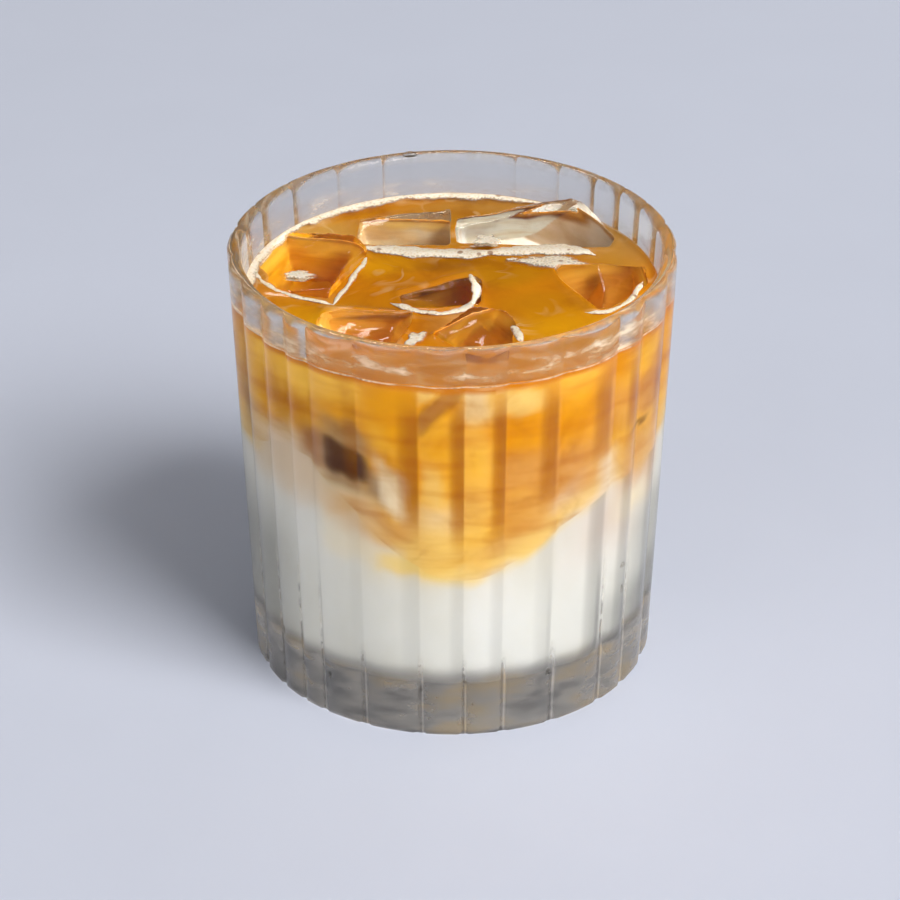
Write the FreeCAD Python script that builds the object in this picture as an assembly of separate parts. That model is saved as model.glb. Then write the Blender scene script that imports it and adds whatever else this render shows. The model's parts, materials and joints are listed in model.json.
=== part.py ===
"""An iced milk-and-coffee drink in a low ribbed tumbler of pressed glass.

Millimetres, +Z up.  The origin is the middle of the ring that the glass stands on, and -Y is the front.

glass      one solid: a ribbed outside, a smooth tapering bore with a rounded floor, a full-round lip and a
           shallow hollow under the thick base
milk       the pale lower layer, from the glass floor up to an uneven rolling boundary
coffee     the upper layer, from that boundary to the level, cut round every cube of ice
foam_ring  the film of foam that clings where the coffee meets the wall, wider at the back left
ice_1 ...  the cubes that break the surface, melted round, each leaning its own way

The cubes, the foam and the two layers all take their places from the bore of the glass and from LEVEL.
"""
import FreeCAD, Part
import math
import os

from FreeCAD import Placement, Rotation, Vector

# Glass, outside
GLASS_HEIGHT = 88.0
RIM_RADIUS = 44.0            # over the ribs' crests, at the lip
BASE_RADIUS = 39.9           # over the ribs' crests, where the foot begins
RIB_DEPTH = 0.95             # crest to groove
RIB_START = 200.1            # direction of the first groove, degrees anticlockwise from +X
RIB_WIDTHS = (12, 10, 8, 14, 17, 12, 11, 15, 18, 11, 16, 14, 15, 13,
              10, 10, 12, 13, 11, 18, 9, 14, 16, 15, 13, 17, 15)   # shares of the full turn
FOOT_ROUND = 1.6             # edge between the wall and the standing ring
RING_WIDTH = 3.4             # flat ring that the glass stands on
PUNT_DEPTH = 1.2             # hollow inside that ring
ROUND_BITE = 0.05            # the foot and lip roundings start this far inside the crests

# Glass, inside
FLOOR_THICKNESS = 10.0       # solid glass under the drink
RIM_WALL = 3.1               # wall at the lip, over the crests; the lip is a full round of this width
FLOOR_RADIUS = 36.5          # bore at the floor, before its rounding
FLOOR_ROUND = 6.0

# Drink
LEVEL = 78.0                 # flat surface of the coffee
BOUNDARY_HEIGHT = 49.0       # mean height of the boundary between milk and coffee
# Swells of that boundary: x, y, rise (+) or dip (-), spread
SWELLS = (
    (2.0, -38.0, -13.5, 13.0),
    (-31.0, -28.0, 11.0, 10.0),
    (38.0, -20.0, 1.5, 12.0),
    (-33.0, 12.0, 5.0, 12.0),
    (-6.0, 4.0, 7.0, 13.0),
    (16.0, 30.0, -6.0, 12.0),
    (-16.0, 34.0, 3.0, 9.0),
    (34.0, 8.0, 4.0, 9.0),
)
BOUNDARY_STEPS = 17          # spline points across the boundary, each way

# Foam round the wall
FOAM_RISE = 1.6              # how far it climbs above LEVEL
FOAM_FOOT = 1.8              # mean width where it lies on the coffee
FOAM_LIP = 0.55              # mean width at its top
FOAM_OFFSET = (0.28, -0.24)  # the open middle is moved this much in X and Y, so the back left is wider

# Ice
ICE_ROUND = 2.4              # melted edges
ICE_TAPER = 0.86             # bottom face as a share of the top face
ICE_TO_WALL = 1.0            # nothing comes nearer to the bore than this
# Middle of the top face x, y, height above LEVEL, then length, width, depth, turn, lean, roll
ICE_CUBES = (
    (14.9, 21.5, 1.9, 27.4, 14.5, 17.0, 3.0, 31.0, -5.0),
    (-9.6, 20.8, 1.0, 17.8, 13.6, 17.0, -3.0, 21.0, -4.0),
    (-29.2, 8.2, 0.9, 17.5, 22.0, 19.0, -21.0, 7.0, -7.0),
    (-2.4, 0.3, 0.8, 16.8, 16.0, 20.0, 16.0, 8.0, 3.0),
    (30.4, 1.4, 1.7, 15.6, 19.0, 20.0, 12.0, 15.0, 12.0),
    (-17.2, -16.3, 0.9, 17.2, 15.2, 20.0, -8.0, 12.0, -6.0),
    (7.8, -20.2, 1.4, 14.6, 14.6, 19.0, 40.0, 14.0, 18.0),
)


def polar(radius, degrees, height):
    angle = math.radians(degrees)
    return Vector(radius * math.cos(angle), radius * math.sin(angle), height)


def section(radius, height):
    """A point of a profile that is spun round Z."""
    return Vector(radius, 0.0, height)


def line(start, end):
    return Part.LineSegment(start, end).toShape()


def arc(start, middle, end):
    return Part.Arc(start, middle, end).toShape()


def spin(edges):
    return Part.Face(Part.Wire(edges)).revolve(Vector(0, 0, 0), Vector(0, 0, 1), 360)


def corner_arc(before, corner, after, radius):
    """The arc of that radius tangent to the two lines before-corner and corner-after."""
    back = (before - corner).normalize()
    ahead = (after - corner).normalize()
    half_angle = back.getAngle(ahead) / 2
    reach = radius / math.tan(half_angle)
    centre = corner + (back + ahead).normalize() * (radius / math.sin(half_angle))
    middle = centre + (corner - centre).normalize() * radius
    return corner + back * reach, middle, corner + ahead * reach


def lip_inner():
    return section(RIM_RADIUS - RIM_WALL, GLASS_HEIGHT - RIM_WALL / 2)


def bore_radius(height):
    """Radius of the bore's straight wall at a height."""
    top = lip_inner()
    share = (height - FLOOR_THICKNESS) / (top.z - FLOOR_THICKNESS)
    return FLOOR_RADIUS + share * (top.x - FLOOR_RADIUS)


def bore_edges(top_height):
    """The bore's profile from the axis at the floor, round the corner and up the wall to a height."""
    middle = section(0, FLOOR_THICKNESS)
    corner = section(FLOOR_RADIUS, FLOOR_THICKNESS)
    top = section(bore_radius(top_height), top_height)
    start, bend, end = corner_arc(middle, corner, top, FLOOR_ROUND)
    return [line(middle, start), arc(start, bend, end), line(end, top)]


def bore_solid(top_height, base_height=None):
    """The space inside the bore up to a height, or only the slice between two heights."""
    top = section(bore_radius(top_height), top_height)
    top_middle = section(0, top_height)
    if base_height is None:
        edges = bore_edges(top_height)
        start = section(0, FLOOR_THICKNESS)
    else:
        start = section(0, base_height)
        rim = section(bore_radius(base_height), base_height)
        edges = [line(start, rim), line(rim, top)]
    return spin(edges + [line(top, top_middle), line(top_middle, start)])


def rib_outline(crest_radius, height):
    """A closed wire of convex arcs from groove to groove."""
    share = 360.0 / sum(RIB_WIDTHS)
    grooves = [RIB_START + share * sum(RIB_WIDTHS[:index]) for index in range(len(RIB_WIDTHS) + 1)]
    groove_radius = crest_radius - RIB_DEPTH
    corners = [polar(groove_radius, turn, height) for turn in grooves[:-1]]
    corners.append(corners[0])
    edges = []
    for index in range(len(RIB_WIDTHS)):
        crest = polar(crest_radius, (grooves[index] + grooves[index + 1]) / 2, height)
        edges.append(arc(corners[index], crest, corners[index + 1]))
    return Part.Wire(edges)


def make_glass():
    """Straight ribs from foot to lip, trimmed by one spun section that holds everything round."""
    ribs = Part.makeLoft([rib_outline(BASE_RADIUS, 0), rib_outline(RIM_RADIUS, GLASS_HEIGHT)], True, True)

    lip_round = RIM_WALL / 2
    crest_at_foot = section(BASE_RADIUS - ROUND_BITE, 0)
    crest_at_lip = section(RIM_RADIUS - ROUND_BITE, GLASS_HEIGHT)
    ring_outer, foot_bend, wall_foot = corner_arc(section(0, 0), crest_at_foot, crest_at_lip, FOOT_ROUND)
    ring_inner = ring_outer - Vector(RING_WIDTH, 0, 0)
    punt_top = section(0, PUNT_DEPTH)
    punt_radius = (ring_inner.x ** 2 + PUNT_DEPTH ** 2) / (2 * PUNT_DEPTH)
    punt_side = ring_inner.x / 2
    punt_fall = punt_radius - math.sqrt(punt_radius ** 2 - punt_side ** 2)
    punt_bend = section(punt_side, PUNT_DEPTH - punt_fall)

    outside = section(RIM_RADIUS + RIM_WALL, GLASS_HEIGHT / 2)
    lip_outer = section(RIM_RADIUS - ROUND_BITE, GLASS_HEIGHT - lip_round)
    lip_top = section(RIM_RADIUS - lip_round, GLASS_HEIGHT)
    floor_middle = section(0, FLOOR_THICKNESS)

    profile = [
        arc(punt_top, punt_bend, ring_inner),
        line(ring_inner, ring_outer),
        arc(ring_outer, foot_bend, wall_foot),
        line(wall_foot, outside),
        line(outside, lip_outer),
        arc(lip_outer, lip_top, lip_inner()),
    ]
    profile += bore_edges(lip_inner().z)
    profile.append(line(floor_middle, punt_top))
    return ribs.common(spin(Part.__sortEdges__(profile)))


def boundary_height(x, y):
    height = BOUNDARY_HEIGHT
    for centre_x, centre_y, rise, spread in SWELLS:
        distance_squared = (x - centre_x) ** 2 + (y - centre_y) ** 2
        height += rise * math.exp(-distance_squared / (2 * spread ** 2))
    return height


def below_boundary():
    """Everything under the rolling boundary, wider than the bore."""
    half = RIM_RADIUS
    places = [half * (2 * index / (BOUNDARY_STEPS - 1) - 1) for index in range(BOUNDARY_STEPS)]
    grid = [[Vector(x, y, boundary_height(x, y)) for y in places] for x in places]
    surface = Part.BSplineSurface()
    surface.interpolate(grid)
    return surface.toShape().extrude(Vector(0, 0, -GLASS_HEIGHT))


def rectangle(length, width, height):
    corners = [Vector(x * length / 2, y * width / 2, height) for x, y in ((-1, -1), (1, -1), (1, 1), (-1, 1))]
    return Part.makePolygon(corners + corners[:1])


def make_cube(x, y, rise, length, width, depth, turn, lean, roll):
    """A tray-made cube, narrower below, with melted edges; its top face's middle is placed."""
    top = rectangle(length, width, 0)
    bottom = rectangle(length * ICE_TAPER, width * ICE_TAPER, -depth)
    block = Part.makeLoft([bottom, top], True, True)
    block = block.makeFillet(ICE_ROUND, block.Edges)
    block.Placement = Placement(Vector(x, y, LEVEL + rise), Rotation(turn, roll, lean))
    return block


def room_for_ice():
    """The bore, smaller all round by ICE_TO_WALL, up to the lip."""
    top_height = GLASS_HEIGHT
    base_height = FLOOR_THICKNESS + FLOOR_ROUND
    edges = [section(0, base_height), section(bore_radius(base_height) - ICE_TO_WALL, base_height),
             section(bore_radius(top_height) - ICE_TO_WALL, top_height), section(0, top_height)]
    return spin([line(edges[index], edges[(index + 1) % 4]) for index in range(4)])


def make_foam_ring():
    """The slice of bore above LEVEL, less a cone set off centre."""
    top_height = LEVEL + FOAM_RISE
    slice_of_bore = bore_solid(top_height, LEVEL)
    foot_radius = bore_radius(LEVEL) - FOAM_FOOT
    lip_radius = bore_radius(top_height) - FOAM_LIP
    growth = (lip_radius - foot_radius) / FOAM_RISE
    start = Vector(FOAM_OFFSET[0], FOAM_OFFSET[1], LEVEL - FOAM_RISE)
    opening = Part.makeCone(foot_radius - growth * FOAM_RISE, lip_radius + growth * FOAM_RISE,
                            3 * FOAM_RISE, start)
    return slice_of_bore.cut(opening)


def cut_all(shape, tools):
    for tool in tools:
        shape = shape.cut(tool)
    return shape


def as_solid(shape):
    """The single solid inside a boolean result, checked."""
    solids = sorted(shape.Solids, key=lambda solid: solid.Volume)
    if not solids or not solids[-1].isValid():
        raise RuntimeError("a piece did not build")
    return solids[-1]


def build():
    nodes = {"glass": as_solid(make_glass())}
    room = room_for_ice()
    ice = [as_solid(make_cube(*row).common(room)) for row in ICE_CUBES]
    drink = bore_solid(LEVEL)
    lower = below_boundary()
    nodes["milk"] = as_solid(cut_all(drink.common(lower), ice))
    nodes["coffee"] = as_solid(cut_all(drink.cut(lower), ice))
    nodes["foam_ring"] = as_solid(cut_all(make_foam_ring(), ice))
    for index, cube in enumerate(ice):
        nodes["ice_%d" % (index + 1)] = cube
    return nodes


if __name__ == "__main__":
    os.makedirs("parts", exist_ok=True)
    for name, solid in build().items():
        solid.exportStep("parts/%s.step" % name)
        box = solid.BoundBox
        print("%-10s %9.0f mm3  x %6.2f %6.2f  y %6.2f %6.2f  z %6.2f %6.2f" % (
            name, solid.Volume, box.XMin, box.XMax, box.YMin, box.YMax, box.ZMin, box.ZMax))
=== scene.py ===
"""Iced coffee standing on milk, with seven ice cubes, in a pressed ribbed glass tumbler.

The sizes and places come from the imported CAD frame. Lengths in the tables here are millimetres.
"""

import json
import math

import bmesh
import bpy
import numpy as np
from bpy.props import FloatProperty, FloatVectorProperty, IntProperty, PointerProperty
from bpy.types import Operator, Panel, PropertyGroup
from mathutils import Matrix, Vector, noise
from mathutils.bvhtree import BVHTree

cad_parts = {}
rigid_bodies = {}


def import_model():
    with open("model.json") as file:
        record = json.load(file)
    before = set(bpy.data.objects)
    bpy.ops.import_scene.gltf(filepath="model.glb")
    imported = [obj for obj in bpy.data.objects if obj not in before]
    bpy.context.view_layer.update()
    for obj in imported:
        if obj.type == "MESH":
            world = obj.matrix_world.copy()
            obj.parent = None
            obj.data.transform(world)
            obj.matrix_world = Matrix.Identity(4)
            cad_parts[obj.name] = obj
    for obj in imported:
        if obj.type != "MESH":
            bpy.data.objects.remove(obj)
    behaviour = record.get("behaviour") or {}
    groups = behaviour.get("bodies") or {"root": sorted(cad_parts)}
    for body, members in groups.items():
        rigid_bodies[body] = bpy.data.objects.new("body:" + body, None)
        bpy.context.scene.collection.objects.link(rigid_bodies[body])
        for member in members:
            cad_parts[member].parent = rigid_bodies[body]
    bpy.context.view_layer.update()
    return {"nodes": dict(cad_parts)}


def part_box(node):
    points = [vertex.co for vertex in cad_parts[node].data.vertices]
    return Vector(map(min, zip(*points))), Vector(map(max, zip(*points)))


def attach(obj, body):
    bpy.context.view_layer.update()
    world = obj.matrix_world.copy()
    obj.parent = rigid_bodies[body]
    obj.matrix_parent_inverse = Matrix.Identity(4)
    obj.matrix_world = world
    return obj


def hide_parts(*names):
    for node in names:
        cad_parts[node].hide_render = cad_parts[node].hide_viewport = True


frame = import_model()

bl_info = {
    "name": "Iced coffee in a ribbed glass",
    "version": (1, 0, 0),
    "blender": (4, 5, 0),
    "location": "3D View > Sidebar > Drink",
    "description": "Builds the glass, the layered drink, its ice and its foam, and a plain stage",
    "category": "Object",
}

MM = 0.001
BODY = "root"
ICE_NODES = sorted(name for name in frame["nodes"] if name.startswith("ice_"))

# Heights over the table: the lip, the open surface of the coffee, and the inside of the glass's floor.
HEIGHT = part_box("glass")[1].z / MM
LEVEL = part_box("coffee")[1].z / MM
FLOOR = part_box("milk")[0].z / MM


# ---------------------------------------------------------------- small tools


def linear(code):
    """An sRGB hex colour as the linear colour that Blender's sockets hold."""
    parts = [int(code[i : i + 2], 16) / 255 for i in (1, 3, 5)]
    made = [c / 12.92 if c <= 0.04045 else ((c + 0.055) / 1.055) ** 2.4 for c in parts]
    return (*made, 1.0)


def add(tree, kind, links=None, stops=None, **settings):
    """Add one shader node, with its settings, a value or socket for each input, and its ramp stops."""
    made = tree.nodes.new("ShaderNode" + kind)
    for name, value in settings.items():
        setattr(made, name, value)
    for name, value in (links or {}).items():
        if isinstance(value, bpy.types.NodeSocket):
            tree.links.new(value, made.inputs[name])
        else:
            made.inputs[name].default_value = value
    if stops:
        ramp = made.color_ramp.elements
        while len(ramp) < len(stops):
            ramp.new(0.5)
        for element, (position, colour) in zip(ramp, stops):
            element.position = position
            element.color = colour if len(colour) == 4 else (*colour, 1.0)
    return made


def start_material(name):
    """A new material and its empty node tree."""
    material = bpy.data.materials.new(name)
    material.use_nodes = True
    material.node_tree.nodes.clear()
    return material, material.node_tree


def grey(value):
    """A grey for a ramp stop that carries a number."""
    return (value, value, value, 1.0)


def make_object(name, points, faces, material, smooth=True):
    """A mesh object in the frame, from points in millimetres."""
    mesh = bpy.data.meshes.new(name)
    mesh.from_pydata((np.asarray(points) * MM).tolist(), [], faces)
    mesh.validate()
    mesh.polygons.foreach_set("use_smooth", [smooth] * len(mesh.polygons))
    mesh.update()
    made = bpy.data.objects.new(name, mesh)
    bpy.context.scene.collection.objects.link(made)
    if material:
        mesh.materials.append(material)
    return made


def place(piece, slot, *nodes):
    """Let a piece ride on the body and stand for CAD nodes. The slot is not used."""
    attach(piece, BODY)
    if nodes:
        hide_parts(*nodes)


def set_attribute(mesh, name, values):
    """Store one number, or one colour, for each vertex."""
    values = np.asarray(values, np.float32)
    if values.ndim == 1:
        made = mesh.attributes.new(name, "FLOAT", "POINT")
        made.data.foreach_set("value", values)
    else:
        made = mesh.attributes.new(name, "FLOAT_COLOR", "POINT")
        full = np.ones((len(values), 4), np.float32)
        full[:, :3] = values[:, :3]
        made.data.foreach_set("color", full.ravel())


def vertices_of(mesh):
    """All vertices in millimetres."""
    found = np.empty(len(mesh.vertices) * 3)
    mesh.vertices.foreach_get("co", found)
    return found.reshape(-1, 3) / MM


def normals_of(mesh):
    """The outward direction at each vertex."""
    found = np.empty(len(mesh.vertices) * 3)
    mesh.vertices.foreach_get("normal", found)
    return found.reshape(-1, 3)


def move_vertices(mesh, points):
    """Put all vertices at points in millimetres."""
    mesh.vertices.foreach_set("co", (points * MM).ravel())
    mesh.update()


def surface_of(*names):
    """A search tree over CAD nodes, in millimetres."""
    points, faces = [], []
    for name in names:
        mesh = frame["nodes"][name].data
        start = len(points)
        points += [Vector(v.co) / MM for v in mesh.vertices]
        faces += [[start + i for i in p.vertices] for p in mesh.polygons]
    return BVHTree.FromPolygons(points, faces)


def rings_to_mesh(rings, first_pole, last_pole):
    """Points and faces of a closed skin through rings of points, with a pole at each end."""
    rows, columns = rings.shape[:2]
    points = np.concatenate([rings.reshape(-1, 3), [first_pole, last_pole]])
    pole, top = rows * columns, (rows - 1) * columns
    faces = []
    for j in range(columns):
        k = (j + 1) % columns
        faces.append((pole, k, j))
        faces.append((pole + 1, top + j, top + k))
        for low in range(0, top, columns):
            high = low + columns
            faces.append((low + j, low + k, high + k, high + j))
    return points, faces


def soft_step(low, high, value):
    """0 at low, 1 at high, smooth between them and level outside. low may be the larger of the two."""
    t = np.clip((value - low) / (high - low), 0.0, 1.0)
    return t * t * (3 - 2 * t)


def ripple(points, size, seed):
    """Smooth noise from -1 to 1 at each point, with features about size millimetres wide."""
    shift = Vector((seed * 7.31, seed * 3.17, seed * 5.53))
    return np.array([noise.noise(Vector(p) / size + shift) for p in points])


def azimuth_of(points):
    """Degrees round the glass from its front, positive to the right."""
    return np.degrees(np.arctan2(points[:, 0], -points[:, 1]))


def points_round(radius, degrees, heights):
    """A point for each azimuth, at a radius and a height that may differ from point to point."""
    angle = np.radians(degrees)
    parts = np.broadcast_arrays(radius * np.sin(angle), -radius * np.cos(angle), heights)
    return np.stack(parts, axis=-1)


def keep_result(piece):
    """Apply a piece's modifiers."""
    graph = bpy.context.evaluated_depsgraph_get()
    mesh = bpy.data.meshes.new_from_object(piece.evaluated_get(graph), depsgraph=graph)
    piece.modifiers.clear()
    piece.data = mesh


# ---------------------------------------------------------------- measures of the CAD glass

GLASS_SKIN = surface_of("glass")
# A radius well outside the glass.
OUTSIDE = 80


def direction(degrees):
    """The level direction at an azimuth."""
    angle = math.radians(degrees)
    return Vector((math.sin(angle), -math.cos(angle), 0.0))


def outer_radius(degrees, height):
    """The outside radius of the CAD glass."""
    way = direction(degrees)
    hit = GLASS_SKIN.ray_cast(way * OUTSIDE + Vector((0, 0, height)), -way)[0]
    return math.hypot(hit.x, hit.y)


def bore_radius(height):
    """The inside radius of the CAD glass."""
    way = direction(3.0)
    hit = GLASS_SKIN.ray_cast(Vector((0, 0, height)), way)[0]
    return math.hypot(hit.x, hit.y)


def find_grooves():
    """The azimuths of the grooves between the ribs, in rising order."""
    step = 0.2
    reach = 8
    closest = 3.0
    angles = np.arange(-180, 180, step)
    radii = np.array([outer_radius(a, HEIGHT * 0.6) for a in angles])
    lowest = np.min([np.roll(radii, k) for k in range(-reach, reach + 1)], axis=0)
    found = angles[radii <= lowest + 1e-9]
    kept = [float(found[0])]
    for angle in found[1:]:
        if angle - kept[-1] > closest:
            kept.append(float(angle))
    return kept


GROOVES = find_grooves()
# Places across one rib, from groove to groove, packed closer at the grooves.
ACROSS_RIB = (0.0, 0.03, 0.07, 0.13, 0.21, 0.3, 0.4, 0.5, 0.6, 0.7, 0.79, 0.87, 0.93, 0.97)


def rib_columns():
    """The azimuth, and the place across its rib, of each column of points round the glass."""
    angles, places = [], []
    for left, right in zip(GROOVES, GROOVES[1:] + [GROOVES[0] + 360]):
        for place_in_rib in ACROSS_RIB:
            angles.append(left + (right - left) * place_in_rib)
            places.append(place_in_rib)
    return np.array(angles), np.array(places)


COLUMNS, PLACES = rib_columns()


def boundary_heights():
    """Radii from the wall inwards, and the height of the milk's surface at each and at each column."""
    skin = surface_of("milk")
    radii = np.array([37.4, 34.0, 28.0, 20.0, 12.0, 5.0])
    heights = np.empty((len(radii), len(COLUMNS)))
    for i, radius in enumerate(radii):
        for j, angle in enumerate(COLUMNS):
            start = direction(angle) * radius + Vector((0, 0, 90))
            heights[i, j] = skin.ray_cast(start, Vector((0, 0, -1)))[0].z
    return radii, heights


BOUNDARY_RADII, BOUNDARY = boundary_heights()


# ---------------------------------------------------------------- sizes and colours that a user may change


class GlassLook(PropertyGroup):
    """The tumbler."""

    mist: FloatProperty(
        name="Mist",
        description="How rough the cold outside is",
        default=0.2,
        min=0.0,
        max=0.6,
        subtype="FACTOR",
    )
    haze: FloatProperty(
        name="Haze",
        description="Share of the outside that the mist whitens",
        default=0.008,
        min=0.0,
        max=0.5,
        subtype="FACTOR",
    )
    wave: FloatProperty(
        name="Wave",
        description="Unevenness of the pressed wall",
        default=0.04 * MM,
        min=0.0,
        unit="LENGTH",
    )
    tint: FloatVectorProperty(
        name="Tint",
        description="Colour of the glass itself",
        default=linear("#EBE9E6")[:3],
        min=0.0,
        max=1.0,
        subtype="COLOR",
    )


class DrinkLook(PropertyGroup):
    """The milk and the coffee."""

    reach: FloatProperty(
        name="Reach into wall",
        description="How far the liquid reaches into the glass, so that no air shows between them",
        default=0.25 * MM,
        min=0.0,
        unit="LENGTH",
    )
    meniscus: FloatProperty(
        name="Meniscus",
        description="How far the liquid climbs where it touches",
        default=1.2 * MM,
        min=0.0,
        unit="LENGTH",
    )
    milk: FloatVectorProperty(
        name="Milk",
        description="Colour of the milk at the bottom",
        default=linear("#E2E3E0")[:3],
        min=0.0,
        max=1.0,
        subtype="COLOR",
    )
    surface: FloatVectorProperty(
        name="Coffee surface",
        description="Colour of the coffee's open surface",
        default=linear("#D78400")[:3],
        min=0.0,
        max=1.0,
        subtype="COLOR",
    )


class IceLook(PropertyGroup):
    """The ice cubes and the foam on them."""

    melt: FloatProperty(
        name="Melt",
        description="Depth of the dents that melting leaves",
        default=0.45 * MM,
        min=0.0,
        unit="LENGTH",
    )
    voxel: FloatProperty(
        name="Mesh size",
        description="Size of the faces of a cube",
        default=0.5 * MM,
        min=0.2 * MM,
        unit="LENGTH",
    )
    seed: IntProperty(
        name="Seed",
        description="Changes the dents, the bubbles and the foam",
        default=4,
        min=0,
    )


class StageLook(PropertyGroup):
    """The floor, the light and the camera."""

    floor: FloatVectorProperty(
        name="Floor",
        description="Colour of the floor",
        default=linear("#D1D6E5")[:3],
        min=0.0,
        max=1.0,
        subtype="COLOR",
    )
    key: FloatProperty(
        name="Key light",
        description="Power of the large soft lamp",
        default=106.0,
        min=0.0,
        unit="POWER",
    )
    fill: FloatProperty(
        name="Fill light",
        description="Strength of the even light from all round",
        default=0.245,
        min=0.0,
    )
    lens: FloatProperty(
        name="Lens",
        description="Focal length of the camera",
        default=176.3,
        min=10.0,
        unit="CAMERA",
    )


# ---------------------------------------------------------------- glass

# Share of mist on the thick base, and of white haze painted as a highlight on the lit edge of a groove.
BASE_MIST = 0.3
LIT_EDGE_PAINTED_HIGHLIGHT = 0.25


def glass_material(look):
    """Soda-lime glass, pressed in a ribbed mould, cold and misted: bright soft edges, a dull outside."""
    material, tree = start_material("soda_lime_glass_pressed_misted")
    place_in = add(tree, "TexCoord")
    side = add(tree, "Attribute", attribute_name="outside")
    # Mist gathers in soft patches about 9 mm wide.
    patches = add(
        tree, "TexNoise",
        {"Vector": place_in.outputs["Object"], "Scale": 1 / (9 * MM), "Detail": 4.0, "Roughness": 0.6},
    )
    # Fine droplets are under 0.2 mm, too fine to show, so their grain is drawn 0.6 mm wide.
    grain = add(
        tree, "TexNoise", {"Vector": place_in.outputs["Object"], "Scale": 1 / (0.6 * MM), "Detail": 2.0},
    )
    mist = add(
        tree, "ValToRGB", {"Fac": patches.outputs["Fac"]},
        stops=[(0.3, grey(look.mist * 0.7)), (0.7, grey(look.mist * 1.25))],
    )
    rough = add(tree, "Math", {0: mist.outputs["Color"], 1: side.outputs["Fac"]}, operation="MULTIPLY")
    # The smooth inside of pressed glass has a roughness of 0.015.
    rough = add(tree, "Math", {0: rough.outputs["Value"], 1: 0.015}, operation="ADD")
    bump = add(tree, "Bump", {"Strength": 0.06, "Distance": 0.05 * MM, "Height": grain.outputs["Fac"]})
    glass = add(
        tree, "BsdfPrincipled",
        {
            "Base Color": (*look.tint, 1.0),
            "Transmission Weight": 1.0,
            "IOR": 1.5,
            "Specular Tint": linear("#8E877E"),
            "Roughness": rough.outputs["Value"],
            "Normal": bump.outputs["Normal"],
        },
    )
    # Water gathers in the grooves low on the glass and round the lip, where broken dark lines of painted
    # shade are drawn.
    groove = add(tree, "Attribute", attribute_name="groove")
    broken = add(
        tree, "TexNoise", {"Vector": place_in.outputs["Object"], "Scale": 1 / (2.2 * MM), "Detail": 3.0},
    )
    line = add(
        tree, "MapRange",
        {"Value": broken.outputs["Fac"], "From Min": 0.38, "From Max": 0.56, "To Min": 0.15, "To Max": 0.8},
    )
    line = add(tree, "Math", {0: line.outputs["Result"], 1: groove.outputs["Fac"]}, operation="MULTIPLY")
    # Warm and dark patches about 12 mm wide and 4 mm tall in the mist on the base. The same mapping
    # lays the streaks of the film flat.
    lying = add(tree, "Mapping", {"Vector": place_in.outputs["Object"], "Scale": (1.0, 1.0, 3.0)})
    warm = add(
        tree, "TexNoise",
        {"Vector": lying.outputs["Vector"], "Scale": 1 / (12 * MM), "Detail": 4.0, "Roughness": 0.6},
    )
    mist_tone = add(
        tree, "ValToRGB", {"Fac": warm.outputs["Fac"]},
        stops=[(0.36, linear("#AFABA7")), (0.5, linear("#DCD5CC")), (0.64, linear("#EFD7B2"))],
    )
    mist_colour = add(
        tree, "Mix", {0: line.outputs["Value"], 6: mist_tone.outputs["Color"], 7: linear("#35302B")},
        data_type="RGBA",
    )
    haze = add(
        tree, "BsdfPrincipled",
        {
            "Base Color": mist_colour.outputs[2],
            "Roughness": 0.6,
            "Transmission Weight": 0.0,
        },
    )
    haze_share = add(
        tree, "ValToRGB", {"Fac": patches.outputs["Fac"]},
        stops=[(0.3, grey(look.haze * 0.5)), (0.7, grey(look.haze * 1.4))],
    )
    share = add(
        tree, "Math", {0: haze_share.outputs["Color"], 1: side.outputs["Fac"]},
        operation="MULTIPLY",
    )
    # The thick base is colder, so more mist sits on it.
    base = add(tree, "Attribute", attribute_name="cold_base")
    share = add(
        tree, "Math", {0: base.outputs["Fac"], 1: BASE_MIST, 2: share.outputs["Value"]},
        operation="MULTIPLY_ADD",
    )
    share = add(tree, "Math", {0: share.outputs["Value"], 1: line.outputs["Value"]}, operation="MAXIMUM")
    # A painted highlight: white haze on the lit side of each groove low on the glass.
    bright = add(tree, "Attribute", attribute_name="painted_groove_highlight")
    share = add(
        tree, "Math", {0: bright.outputs["Fac"], 1: LIT_EDGE_PAINTED_HIGHLIGHT, 2: share.outputs["Value"]},
        operation="MULTIPLY_ADD",
        use_clamp=True,
    )
    misted = add(
        tree, "MixShader", {0: share.outputs["Value"], 1: glass.outputs["BSDF"], 2: haze.outputs["BSDF"]},
    )
    # Where the drink has washed the inside, a thin milky film with gaps stays on the wall.
    film = add(tree, "Attribute", attribute_name="film")
    streaks = add(
        tree, "TexNoise",
        {"Vector": lying.outputs["Vector"], "Scale": 1 / (7 * MM), "Detail": 6.0, "Roughness": 0.65},
    )
    film_gaps = add(
        tree, "ValToRGB", {"Fac": streaks.outputs["Fac"]},
        stops=[(0.4, grey(0.2)), (0.54, grey(0.36)), (0.66, grey(0.75))],
    )
    film_share = add(
        tree, "Math", {0: film_gaps.outputs["Color"], 1: film.outputs["Fac"]},
        operation="MULTIPLY",
        use_clamp=True,
    )
    film_tone = add(
        tree, "ValToRGB", {"Fac": streaks.outputs["Fac"]},
        stops=[(0.38, linear("#A9835A")), (0.54, linear("#CDB08A")), (0.66, linear("#EFE2CC"))],
    )
    film_look = add(tree, "BsdfPrincipled", {"Base Color": film_tone.outputs["Color"], "Roughness": 0.4})
    washed = add(
        tree, "MixShader",
        {0: film_share.outputs["Value"], 1: misted.outputs["Shader"], 2: film_look.outputs["BSDF"]},
    )
    # Lamps shine through the wall, so that the drink behind it is lit.
    ray = add(tree, "LightPath")
    clear = add(tree, "BsdfTransparent", {"Color": (0.94, 0.94, 0.94, 1.0)})
    lit = add(
        tree, "MixShader",
        {0: ray.outputs["Is Shadow Ray"], 1: washed.outputs["Shader"], 2: clear.outputs["BSDF"]},
    )
    add(tree, "OutputMaterial", {"Surface": lit.outputs["Shader"]})
    return material


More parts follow.
